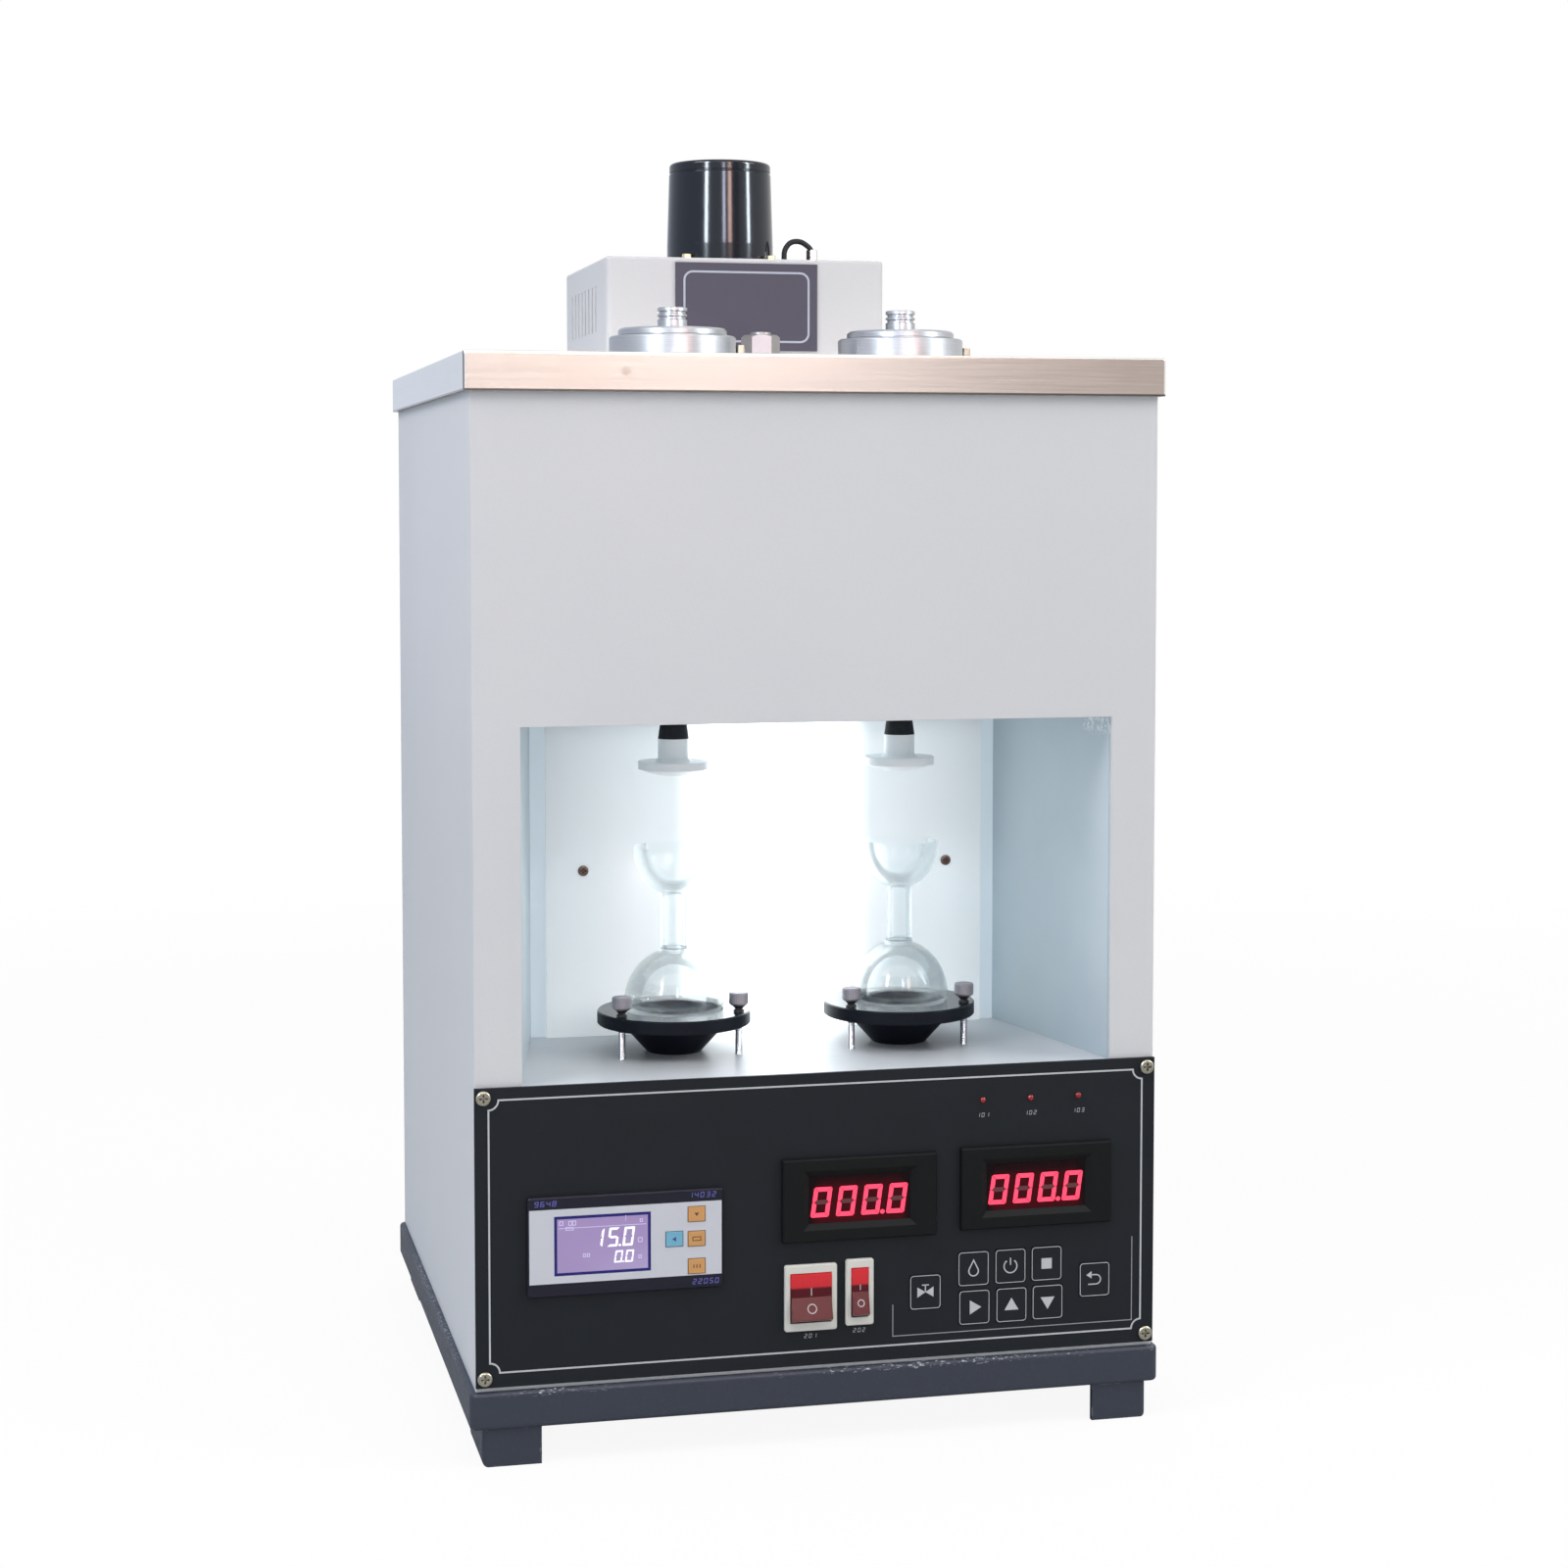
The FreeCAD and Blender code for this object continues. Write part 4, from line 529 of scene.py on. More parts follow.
def thumbScrews(g):
    # threaded rod below the tray's rim, black neck on it, faceted grey knob above
    place = g.place()
    inner, outer = [[Vector(corner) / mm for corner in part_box("thumb_screw_right_" + end)]
                    for end in ("inner", "outer")]
    innerX = (inner[0].x + inner[1].x) / 2
    outerX = (outer[0].x + outer[1].x) / 2
    x = abs(abs(g.axis(place, "X")) - (innerX + outerX) / 2) - (outerX - innerX) / 2
    y = g.axis(place, "Y") - (inner[0].y + inner[1].y) / 2
    z = g.axis(place, "Z")
    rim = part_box("flask_tray_right")[1][2] / mm
    knob = z > rim + thumbLook["knobFrom"]
    neck = (z > rim + thumbLook["neckFrom"]) * (1 - knob)
    thread = g.maths("SINE", z * (2 * math.pi / thumbLook["thread"]))
    facet = g.maths("SINE", g.maths("ARCTAN2", y, x) * thumbLook["facets"])
    height = knob * facet + (1 - knob) * (1 - neck) * thread
    tone = g.blend(g.noise(place, 0.7, 3) * 0.5, (0.62, 0.63, 0.66), (0.34, 0.35, 0.38))
    grey = g.blend(g.noise(place, 0.3, 3), (0.36, 0.335, 0.36), (0.30, 0.28, 0.31))
    tone = g.blend(knob, tone, grey)
    tone = g.blend(neck, tone, (0.012, 0.012, 0.014))
    return principled(g, {"Base Color": tone, "Metallic": (1 - knob) * (1 - neck) + knob * 0.55,
                          "Roughness": 0.22 + knob * 0.16 + neck * 0.25,
                          "Normal": g.bump(height, 0.05, 0.15)})


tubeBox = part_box("viscometer_tube_right")
tubeAt = [(tubeBox[0][i] + tubeBox[1][i]) / 2 / mm for i in (0, 1)]
aluminium = finish("turnedAluminium", turnedMetal(tubeAt))
dress(finish("brushedSheet", brushedSheet), "bath_cover", "bath_tank")
dress(aluminium, "viscometer_tube_left", "viscometer_tube_right", "tube_lid_left", "tube_lid_right")
dress(finish("nickelPlate", plainMetal(metal["nickel"], 0.28)), "filler_plug")
dress(finish("fasteners", fasteners), "pan_screws")
dress(finish("thumbScrews", thumbScrews), *[n for n in frame["nodes"] if n.startswith("thumb_screw_")])
dress(finish("brassTurned", plainMetal(metal["brass"], 0.22)), "motor_screws")
dress(finish("sheathSteel", plainMetal(metal["sheath"], 0.35)), "heater_coil")
dress(finish("probeSteel", plainMetal(metal["probe"], 0.22)), "temperature_probe", "stirrer")
print("bare metals")

# Plastics, rubber and enamel

def moulded(colour, roughness=0.35, specular=0.4, texture=0.8, depth=0.02, round=0.3, glow=0.0):
    # glow stands for light that passes through translucent pieces
    def make(g):
        place = g.place()
        tone = g.blend(g.noise(place, 0.15, 3) * 0.5, colour, tuple(0.82 * c for c in colour))
        return principled(g, {"Base Color": tone, "Roughness": roughness + g.noise(place, 0.4, 2) * 0.12,
                              "Specular IOR Level": specular, "Emission Color": tone,
                              "Emission Strength": glow,
                              "Normal": g.bump(g.noise(place, texture, 3), depth, round)})
    return make


def motorEnamel(g):
    place = g.place()
    dust = g.fade(g.noise(place, 0.25, 4), 0.62, 0.8) * 0.2
    tone = g.blend(dust, (0.004, 0.008, 0.016), (0.022, 0.028, 0.040))
    return principled(g, {"Base Color": tone, "Roughness": 0.11 + g.noise(place, 0.1, 3) * 0.06,
                          "Specular IOR Level": 0.42,
                          "Normal": g.bump(g.noise(place, 0.12, 2), 0.02, 0.4)})


def trayBlack(g):
    place = g.place()
    up = g.axis(g.facing(), "Z")
    ring = g.noise(g.stretched(place, (0.4, 0.4, 3.0)), 1.0, 3)
    dust = g.fade(g.noise(place, 0.5, 3), 0.55, 0.8) * 0.4
    tone = g.blend(dust, (0.005, 0.007, 0.013), (0.014, 0.020, 0.032))
    shine = g.fade(up, 0.2, 0.8)
    return principled(g, {"Base Color": tone, "Roughness": 0.40 - shine * 0.26 + ring * 0.08,
                          "Specular IOR Level": 0.12, "Coat Weight": shine * 0.25,
                          "Normal": g.bump(ring, 0.01, 0.35)})


def corkRubber(g):
    place = g.place()
    tone = g.blend(g.noise(place, 0.8, 4), (0.010, 0.011, 0.014), (0.022, 0.023, 0.028))
    return principled(g, {"Base Color": tone, "Roughness": 0.55 + g.noise(place, 0.6) * 0.2,
                          "Specular IOR Level": 0.25, "Normal": g.bump(g.noise(place, 2.0, 4), 0.06, 0.3)})


dress(finish("motorEnamel", motorEnamel), "motor_housing", "motor_base")
dress(finish("trayBlack", trayBlack), "flask_tray_left", "flask_tray_right")
dress(finish("corkRubber", corkRubber),
      "stopper_cork_left", "stopper_cork_right", "lead_grommet", "sensor_lead")
dress(finish("handleWhite", moulded((0.91, 0.92, 0.92), 0.30, glow=0.08)),
      "stopper_handle_left", "stopper_handle_right")
dress(finish("inletBlack", moulded((0.018, 0.018, 0.020), 0.45, 0.3, 1.5, 0.05)), "power_inlet")
dress(finish("bezelCream", moulded((0.80, 0.79, 0.72), 0.35)), "switch_bezels")
dress(finish("meterBlack", moulded((0.0045, 0.0060, 0.0060), 0.42, 0.12, 1.5, 0.04)), "timer_housings")
dress(finish("lampRed", moulded((0.34, 0.012, 0.018), 0.15, 0.5)), "indicator_lamps")
dress(finish("keyOrange", moulded((0.72, 0.36, 0.12), 0.35)),
      "controller_key_top", "controller_key_middle", "controller_key_low")
dress(finish("keyBlue", moulded((0.19, 0.49, 0.66), 0.35)), "controller_key_shift")


# the node holds both windows; each is twice its half wide, and dark above and at its ends
windowEnds = [corner[0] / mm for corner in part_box("timer_windows")]
windowLook = {"half": 25.9, "sideFrom": 20, "sideTo": 26, "topFrom": 3, "topTo": 1}
windowMiddle = (windowEnds[0] + windowEnds[1]) / 2
windowApart = (windowEnds[1] - windowEnds[0]) / 2 - windowLook["half"]


def windowRed(g):
    # painted light: the window is painted a lighter red and made to glow round the digits, standing in for
    # their light, and left dark above and at its ends
    place = g.place()
    z = g.axis(place, "Z")
    low, high = [corner[2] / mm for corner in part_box("timer_windows")]
    dark = g.fade(z, (low + high) / 2 + windowLook["topFrom"], high - windowLook["topTo"]) * 0.8
    x = abs(abs(g.axis(place, "X") - windowMiddle) - windowApart)
    dark = dark + g.fade(x, windowLook["sideFrom"], windowLook["sideTo"]) * 0.8
    cloud = g.clip(g.noise(place, 0.2, 2) * 0.3 + dark)
    tone = g.blend(cloud, (0.046, 0.001, 0.003), (0.005, 0.001, 0.002))
    return principled(g, {"Base Color": tone, "Roughness": 0.16 + g.noise(place, 0.1) * 0.05,
                          "Specular IOR Level": 0.10, "Emission Color": tone, "Emission Strength": 0.5})


def labelSlate(g):
    place = g.place()
    tone = g.blend(g.noise(place, 0.05, 3), (0.080, 0.076, 0.108), (0.068, 0.064, 0.095))
    return principled(g, {"Base Color": tone, "Roughness": 0.42 + g.noise(place, 0.8, 2) * 0.1,
                          "Specular IOR Level": 0.25, "Normal": g.bump(g.noise(place, 2.0), 0.01, 0.2)})


lampLook = {"cap": 12, "strength": 4.0}


def lampGlass(g):
    place = g.place()
    z = g.axis(place, "Z")
    low, high = [corner[2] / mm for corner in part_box("lamp_tubes")]
    cap = g.maths("MAXIMUM", z < low + lampLook["cap"], z > high - lampLook["cap"])
    tone = g.blend(cap, (0.85, 0.86, 0.84), (0.55, 0.55, 0.55))
    glow = g.blend(cap, (0.85, 1.0, 1.0), (0.0, 0.0, 0.0))
    return principled(g, {"Base Color": tone, "Metallic": cap,
                          "Roughness": 0.35 + g.noise(place, 0.3) * 0.1,
                          "Emission Color": glow, "Emission Strength": lampLook["strength"]})


dress(finish("windowRed", windowRed), "timer_windows")
dress(finish("labelSlate", labelSlate), "label_plate")
dress(finish("lampGlass", lampGlass), "lamp_tubes")
print("plastics and enamel")

# The lit diffuser: brightest over the lamps, fading towards its ends

glow = {
    # distances from the middle at which the core and its skirt start and are full
    "centre": 3.5, "core": (55.0, 22.0), "skirt": (170.0, 38.0), "skirtShare": 0.165,
    "topShade": 22.0, "topLeast": 0.45, "foot": (60, 150), "footGain": 0.012,
    "strength": 3.1, "tint": (0.91, 0.975, 1.0),
}


def diffuserSheet(g):
    place = g.place()
    away = abs(g.axis(place, "X") - glow["centre"])
    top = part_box("diffuser_panel")[1][2] / mm
    shade = g.fade(g.axis(place, "Z"), top, top - glow["topShade"], glow["topLeast"], 1.0)
    end, flat = glow["skirt"]
    skirt = g.clip((end - away) / (end - flat)) * glow["skirtShare"]
    footFrom, footTo = glow["foot"]
    skirt = skirt + g.fade(g.axis(place, "Z"), top - footFrom, top - footTo) * glow["footGain"]
    lit = g.clip((g.fade(away, *glow["core"]) + skirt) * shade)
    tone = g.blend(g.noise(place, 0.03, 3), (0.82, 0.845, 0.845), (0.79, 0.82, 0.825))
    return principled(g, {"Base Color": tone, "Roughness": 0.5 + g.noise(place, 0.3) * 0.1,
                          "Emission Color": g.blend(lit, (0.0, 0.0, 0.0), glow["tint"]),
                          "Emission Strength": glow["strength"],
                          "Normal": g.bump(g.noise(place, 0.8), 0.01, 0.3)})


dress(finish("diffuserSheet", diffuserSheet), "diffuser_panel")

# Flasks: thin glass with one graduation line at the foot of the neck

flaskLook = {"lineUp": 40.8, "lineWidth": 0.5, "lineShare": 0.7, "thin": 0.60}


def flaskGlass(g):
    place = g.place()
    smear = g.fade(g.noise(place, 0.06, 3), 0.5, 0.8) * 0.03
    glass = principled(g, {"Base Color": (0.97, 0.985, 0.985), "Roughness": smear, "IOR": 1.47,
                           "Transmission Weight": 1.0})
    clear = g.node("BsdfTransparent", {}, {"Color": (0.96, 0.975, 0.975, 1)})
    shadow = g.node("LightPath", {}, {}, "Is Shadow Ray")
    # thin walls: over half of what is seen comes straight through, save at the line
    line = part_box("flask_right")[0][2] / mm + flaskLook["lineUp"]
    half = flaskLook["lineWidth"] / 2
    z = g.axis(place, "Z")
    mark = (z > line - half) * (z < line + half)
    etched = principled(g, {"Base Color": (0.30, 0.36, 0.38), "Roughness": 0.6})
    thin = g.node("MixShader", {}, {0: g.maths("MAXIMUM", shadow, flaskLook["thin"]), 1: glass, 2: clear})
    return g.node("MixShader", {}, {0: mark * (1 - shadow) * flaskLook["lineShare"], 1: thin, 2: etched})


dress(finish("flaskGlass", flaskGlass), "flask_left", "flask_right")
print("diffuser and glass")

# Thin printed and cut pieces that lie on a front face

def addPiece(name, mesh, material, body, smooth=False):
    piece = bpy.data.objects.new(name, mesh)
    bpy.context.collection.objects.link(piece)
    mesh.materials.append(material)
    for face in mesh.polygons:
        face.use_smooth = smooth
    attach(piece, body)
    return piece


def frontPlate(name, outlines, face, lift, material, body):
    # each outline, in millimetres, becomes a plate that stands lift proud of the front plane y = face
    shape = bmesh.new()
    for outline in outlines:
        rear = [shape.verts.new((x * mm, face * mm, z * mm)) for x, z in outline]
        near = [shape.verts.new((x * mm, (face - lift) * mm, z * mm)) for x, z in outline]
        shape.faces.new(near)
        shape.faces.new(rear[::-1])
        for i in range(len(outline)):
            j = (i + 1) % len(outline)
            shape.faces.new((near[i], rear[i], rear[j], near[j]))
    bmesh.ops.recalc_face_normals(shape, faces=shape.faces)
    mesh = bpy.data.meshes.new(name)
    shape.to_mesh(mesh)
    shape.free()
    return addPiece(name, mesh, material, body)


def ribbon(path, width, closed=False):
    # quads of even width along a path, mitred at its corners
    count = len(path)
    sides = []
    for i, (x, z) in enumerate(path):
        before = path[i - 1] if i > 0 or closed else path[i]
        after = path[(i + 1) % count] if i < count - 1 or closed else path[i]
        arrive = Vector((x - before[0], z - before[1]))
        leave = Vector((after[0] - x, after[1] - z))
        arrive = (arrive if arrive.length else leave).normalized()
        leave = (leave if leave.length else arrive).normalized()
        along = (arrive + leave).normalized()
        reach = width / 2 / max(0.35, along.dot(leave))
        dx = along.y * reach
        dz = along.x * reach
        sides.append(((x - dx, z + dz), (x + dx, z - dz)))
    quads = []
    for i in range(count if closed else count - 1):
        j = (i + 1) % count
        quads.append([sides[i][0], sides[j][0], sides[j][1], sides[i][1]])
    return quads


def arc(x, z, radius, start, end, steps=6):
    points = []
    for i in range(steps + 1):
        a = math.radians(start + (end - start) * i / steps)
        points.append((x + radius * math.cos(a), z + radius * math.sin(a)))
    return points


def roundedPath(x0, x1, z0, z1, radius, steps=5):
    r = radius
    return (arc(x0 + r, z0 + r, r, 180, 270, steps) + arc(x1 - r, z0 + r, r, 270, 360, steps)
            + arc(x1 - r, z1 - r, r, 0, 90, steps) + arc(x0 + r, z1 - r, r, 90, 180, steps))


def inkWhite(colour, glowing=0.0):
    def make(g):
        place = g.place()
        tone = g.blend(g.noise(place, 0.4, 3) * 0.5, colour, tuple(0.75 * c for c in colour))
        return principled(g, {"Base Color": tone, "Roughness": 0.45 + g.noise(place, 1.0) * 0.1,
                              "Emission Color": colour, "Emission Strength": glowing})
    return make


ink = finish("printedLine", inkWhite((0.60, 0.61, 0.62)))
faintInk = finish("faintLine", inkWhite((0.33, 0.345, 0.36)))
plateInk = finish("plateLine", inkWhite((0.46, 0.50, 0.58)))
digitRed = finish("digitRed", inkWhite((0.95, 0.04, 0.10), 1.1))
# painted glow: the unlit segments are given a faint glow of their own
digitUnlit = finish("digitUnlit", inkWhite((0.085, 0.008, 0.012), 0.35))
digitWhite = finish("digitWhite", inkWhite((0.95, 0.95, 0.98), 0.45))
digitPale = finish("digitPale", inkWhite((0.62, 0.55, 0.78), 0.25))
numberInk = finish("numberInk", inkWhite((0.34, 0.345, 0.37)))
# painted glow: the violet print on the controller's bands is given a faint glow
violetInk = finish("violetInk", inkWhite((0.10, 0.10, 0.40), 0.1))
keyInk = finish("keyInk", inkWhite((0.10, 0.05, 0.02)))
shiftInk = finish("shiftInk", inkWhite((0.02, 0.06, 0.22)))

labelLine = {"inset": 4.9, "corner": 4.6, "width": 1.1, "lift": 0.06}


def labelOutline():
    low, high = [Vector(corner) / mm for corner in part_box("label_plate")]
    inset = labelLine["inset"]
    path = roundedPath(low.x + inset, high.x - inset, low.z + inset, high.z - inset, labelLine["corner"])
    outline = ribbon(path, labelLine["width"], True)
    frontPlate("labelOutline", outline, low.y, labelLine["lift"], plateInk, "cabinet")


labelOutline()
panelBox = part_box("control_panel")
panelFace = panelBox[0][1] / mm
lines = {
    "lift": 0.06, "width": 0.85, "halfWidth": 166.2, "low": 46.5, "high": 179.7, "corner": 4.8,
    "pad": (35.5, 161.5, 51.0, 94.0), "padWidth": 0.45,
}


def panelLines():
    x = lines["halfWidth"]
    z0 = lines["low"]
    z1 = lines["high"]
    r = lines["corner"]
    path = (arc(-x, z0, r, 90, 0) + arc(x, z0, r, 180, 90)
            + arc(x, z1, r, 270, 180) + arc(-x, z1, r, 0, -90))
    frontPlate("panelBorder", ribbon(path, lines["width"], True), panelFace, lines["lift"], ink, "cabinet")
    x0, x1, z0, z1 = lines["pad"]
    path = [(x0, z0 + 16), (x0, z0), (x1, z0), (x1, z1)]
    frontPlate("padBorder", ribbon(path, lines["padWidth"]), panelFace, lines["lift"], faintInk, "cabinet")


def panelOverlay(g):
    place = g.place()
    weave = g.noise(place, 1.2, 3, 0.6)
    tone = g.blend(g.noise(place, 0.03, 3), (0.0078, 0.0108, 0.0145), (0.0105, 0.0140, 0.0182))
    tone = g.blend(g.fade(weave, 0.62, 0.8) * 0.3, tone, (0.03, 0.034, 0.04))
    return principled(g, {"Base Color": tone, "Roughness": 0.42 + g.noise(place, 0.08, 3) * 0.12,
                          "Specular IOR Level": 0.16, "Normal": g.bump(weave, 0.02, 0.25)})


panelLines()
panelBlack = finish("panelOverlay", panelOverlay)
dress(panelBlack, "control_panel", *[n for n in frame["nodes"] if n.startswith("key_")])

# Keypad: a printed frame and a mark on each key

keyMark = {"frame": 0.32, "corner": 1.5, "inset": 0.35, "stroke": 0.6, "lift": 0.05}


def circle(x, z, radius, steps=16):
    return arc(x, z, radius, 0, 360 * (steps - 1) / steps, steps - 1)


def markValve(x, z):
    wings = [[(x - 4.2, z - 2.6), (x, z), (x - 4.2, z + 2.6)],
             [(x + 4.2, z + 2.6), (x, z), (x + 4.2, z - 2.6)]]
    stem = ribbon([(x, z), (x, z + 3.6)], keyMark["stroke"])
    return wings + stem + ribbon([(x - 1.8, z + 3.6), (x + 1.8, z + 3.6)], keyMark["stroke"])


def markDrop(x, z):
    outline = arc(x, z - 1.2, 2.5, 155, 385, 14) + [(x, z + 4.3)]
    return ribbon(outline, keyMark["stroke"], True)


def markStart(x, z):
    ring = ribbon(arc(x, z, 3.4, 125, 415, 18), keyMark["stroke"])
    return ring + ribbon([(x, z + 0.6), (x, z + 4.3)], keyMark["stroke"])


def markStop(x, z):
    return [[(x - 2.7, z - 2.7), (x + 2.7, z - 2.7), (x + 2.7, z + 2.7), (x - 2.7, z + 2.7)]]


def markRight(x, z):
    return [[(x - 2.4, z - 3.6), (x + 3.6, z), (x - 2.4, z + 3.6)]]


def markUp(x, z):
    return [[(x - 3.7, z - 2.6), (x + 3.7, z - 2.6), (x, z + 3.6)]]


def markDown(x, z):
    return [[(x + 3.7, z + 2.6), (x - 3.7, z + 2.6), (x, z - 3.6)]]


def markBack(x, z):
    path = [(x - 3.4, z - 2.4)] + arc(x + 0.8, z, 2.4, -90, 90, 8) + [(x - 2.0, z + 2.4)]
    return ribbon(path, keyMark["stroke"]) + [[(x - 4.4, z + 2.4), (x - 1.6, z + 0.5), (x - 1.6, z + 4.3)]]


keyMarks = {
    "key_valve": markValve, "key_volume": markDrop, "key_start": markStart, "key_stop": markStop,
    "key_right": markRight, "key_up": markUp, "key_down": markDown, "key_back": markBack,
}
for node, mark in keyMarks.items():
    low, high = [Vector(corner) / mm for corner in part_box(node)]
    centre = (low + high) / 2
    inset = keyMark["inset"]
    border = roundedPath(low.x + inset, high.x - inset, low.z + inset, high.z - inset, keyMark["corner"])
    frontPlate(node + "Frame", ribbon(border, keyMark["frame"], True), low.y, keyMark["lift"], ink, node)
    frontPlate(node + "Mark", mark(centre.x, centre.z), low.y, keyMark["lift"], ink, node)
print("panel and keypad")

# Seven-segment digits

segments = {
    "0": "abcdef", "1": "bc", "2": "abged", "3": "abgcd", "4": "fgbc", "5": "afgcd",
    "6": "afgcde", "7": "abc", "8": "abcdefg", "9": "abcdfg",
}


def segmentShapes(width, height, stroke):
    # the seven bars of a digit, mitred at their ends, whose lower left corner is the origin
    t = stroke
    gap = stroke * 0.07
    blunt = stroke * 0.22
    middle = height / 2
    half = t / 2

    def bar(z, inward):
        return [(gap + blunt, z), (width - gap - blunt, z),
                (width - gap - blunt / 2, z + inward * blunt / 2), (width - t - gap, z + inward * t),
                (t + gap, z + inward * t), (gap + blunt / 2, z + inward * blunt / 2)]

    def post(x, inward, z, rise):
        return [(x, z + rise * (gap + blunt)), (x + inward * blunt / 2, z + rise * (gap + blunt / 2)),
                (x + inward * t, z + rise * (t + gap)), (x + inward * t, middle - rise * (half + gap)),
                (x + inward * half, middle - rise * gap), (x, middle - rise * gap)]

    across = [(half + gap, middle), (t + gap, middle + half), (width - t - gap, middle + half),
              (width - half - gap, middle), (width - t - gap, middle - half), (t + gap, middle - half)]
    return {
        "a": bar(height, -1), "d": bar(0, 1), "g": across,
        "f": post(0, 1, height, -1), "b": post(width, -1, height, -1),
        "e": post(0, 1, 0, 1), "c": post(width, -1, 0, 1),
    }


def digit(keys, x, z, width, height, stroke, slant=0.14):
    shapes = segmentShapes(width, height, stroke)
    return [[(x + px + slant * pz, z + pz) for px, pz in shapes[key]] for key in keys]


def number(text, x, z, width, height, stroke, pitch):
    outlines = []
    for character in text:
        if character == ".":
            outlines.append(circle(x - (pitch - width) / 2, z + stroke / 2, stroke * 0.55, 8))
            continue
        outlines += digit(segments[character], x, z, width, height, stroke)
        x += pitch
    return outlines


timerDigits = {"text": "000.0", "width": 9.3, "height": 15.0, "stroke": 2.2, "pitch": 12.9, "lift": 0.06,
               "drop": 1.3, "windowRise": 0.62, "shift": -1.2}


def timerReadings():
    # lit digits, and the unlit bar across the middle of each
    low, high = [Vector(corner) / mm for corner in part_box("timer_windows")]
    t = timerDigits
    half = windowLook["half"]
    places = (("leftReading", low.x + half, -1), ("rightReading", high.x - half, 1))
    for name, centre, side in places:
        x = centre - (3 * t["pitch"] + t["width"]) / 2 + t["shift"]
        z = (low.z + high.z) / 2 + side * t["windowRise"] - t["drop"] - t["height"] / 2
        size = (t["width"], t["height"], t["stroke"])
        frontPlate(name, number(t["text"], x, z, *size, t["pitch"]), low.y, t["lift"], digitRed, "cabinet")
        unlit = [digit("g", x + i * t["pitch"], z, *size)[0] for i in range(4)]
        frontPlate(name + "Unlit", unlit, low.y, t["lift"], digitUnlit, "cabinet")


timerReadings()

# Plain numbers under the three lamps and the two switches

panelNumbers = {
    "size": (1.5, 2.2, 0.34), "pitch": 2.35, "lift": 0.05, "underLamp": 7.6, "underSwitch": 3.9,
    "lamps": ("101", "102", "103"), "switches": ("201", "202"), "lampShares": (0, 0.497, 1),
}


def panelPrint():
    look = panelNumbers
    width, height, stroke = look["size"]
    outlines = []
    lampBox = [Vector(corner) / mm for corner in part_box("indicator_lamps")]
    lampZ = (lampBox[0].z + lampBox[1].z) / 2
    radius = (lampBox[1].z - lampBox[0].z) / 2
    first = lampBox[0].x + radius
    span = lampBox[1].x - radius - first
    spots = [(first + span * share, lampZ - look["underLamp"]) for share in look["lampShares"]]
    for node in ("heater_rocker", "lamp_rocker"):
        low, high = [Vector(corner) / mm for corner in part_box(node)]
        spots.append(((low.x + high.x) / 2, low.z - look["underSwitch"] - height * 1.6))
    for text, (x, z) in zip(look["lamps"] + look["switches"], spots):
        span = (len(text) - 1) * look["pitch"] + width
        outlines += number(text, x - span / 2, z - height / 2, width, height, stroke, look["pitch"])
    frontPlate("panelNumbers", outlines, panelFace, look["lift"], numberInk, "cabinet")


panelPrint()

# Temperature controller: pale faceplate between dark bands, violet display with a blue surround

controller = {
    "plate": (-147.2, -52.3, 89.1, 125.5), "rim": (0.008, 0.008, 0.020), "pale": (0.70, 0.70, 0.74),
    "surround": 1.4, "lens": (0.35, 0.27, 0.46), "lensEdge": (0.012, 0.012, 0.14), "lensGlow": 0.22,
}


def controllerFace(g):
    place = g.place()
    pale = g.box(place, *controller["plate"]) * (g.axis(g.facing(), "Y") < -0.9)
    deep = g.axis(place, "Y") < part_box("controller_housing")[0][1] / mm + 0.05
    tone = g.blend(g.noise(place, 0.1, 3), controller["pale"], (0.65, 0.66, 0.72))
    tone = g.blend(pale * deep, controller["rim"], tone)
    return principled(g, {"Base Color": tone, "Roughness": 0.30 + g.noise(place, 0.3) * 0.1,
                          "Specular IOR Level": 0.25, "Normal": g.bump(g.noise(place, 1.0), 0.01, 0.25)})


def displayLens(g):
    place = g.place()
    low, high = [Vector(corner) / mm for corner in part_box("controller_display")]
    edge = controller["surround"]
    inside = g.box(place, low.x + edge, high.x - edge, low.z + edge, high.z - edge)
    pixels = g.noise(place, 0.12, 2)
    tone = g.blend(pixels, controller["lens"], (0.37, 0.26, 0.52))
    pale = g.fade(g.axis(place, "Z"), high.z - 8, low.z) * g.fade(g.axis(place, "X"), low.x, high.x)
    tone = g.blend(pale * 0.5, tone, (0.46, 0.38, 0.60))
    tone = g.blend(inside, controller["lensEdge"], tone)
    return principled(g, {"Base Color": tone, "Roughness": 0.16 + g.noise(place, 0.2) * 0.06,
                          "Specular IOR Level": 0.3, "Emission Color": tone,
                          "Emission Strength": controller["lensGlow"]})


dress(finish("controllerFace", controllerFace), "controller_housing")
dress(finish("displayLens", displayLens), "controller_display")

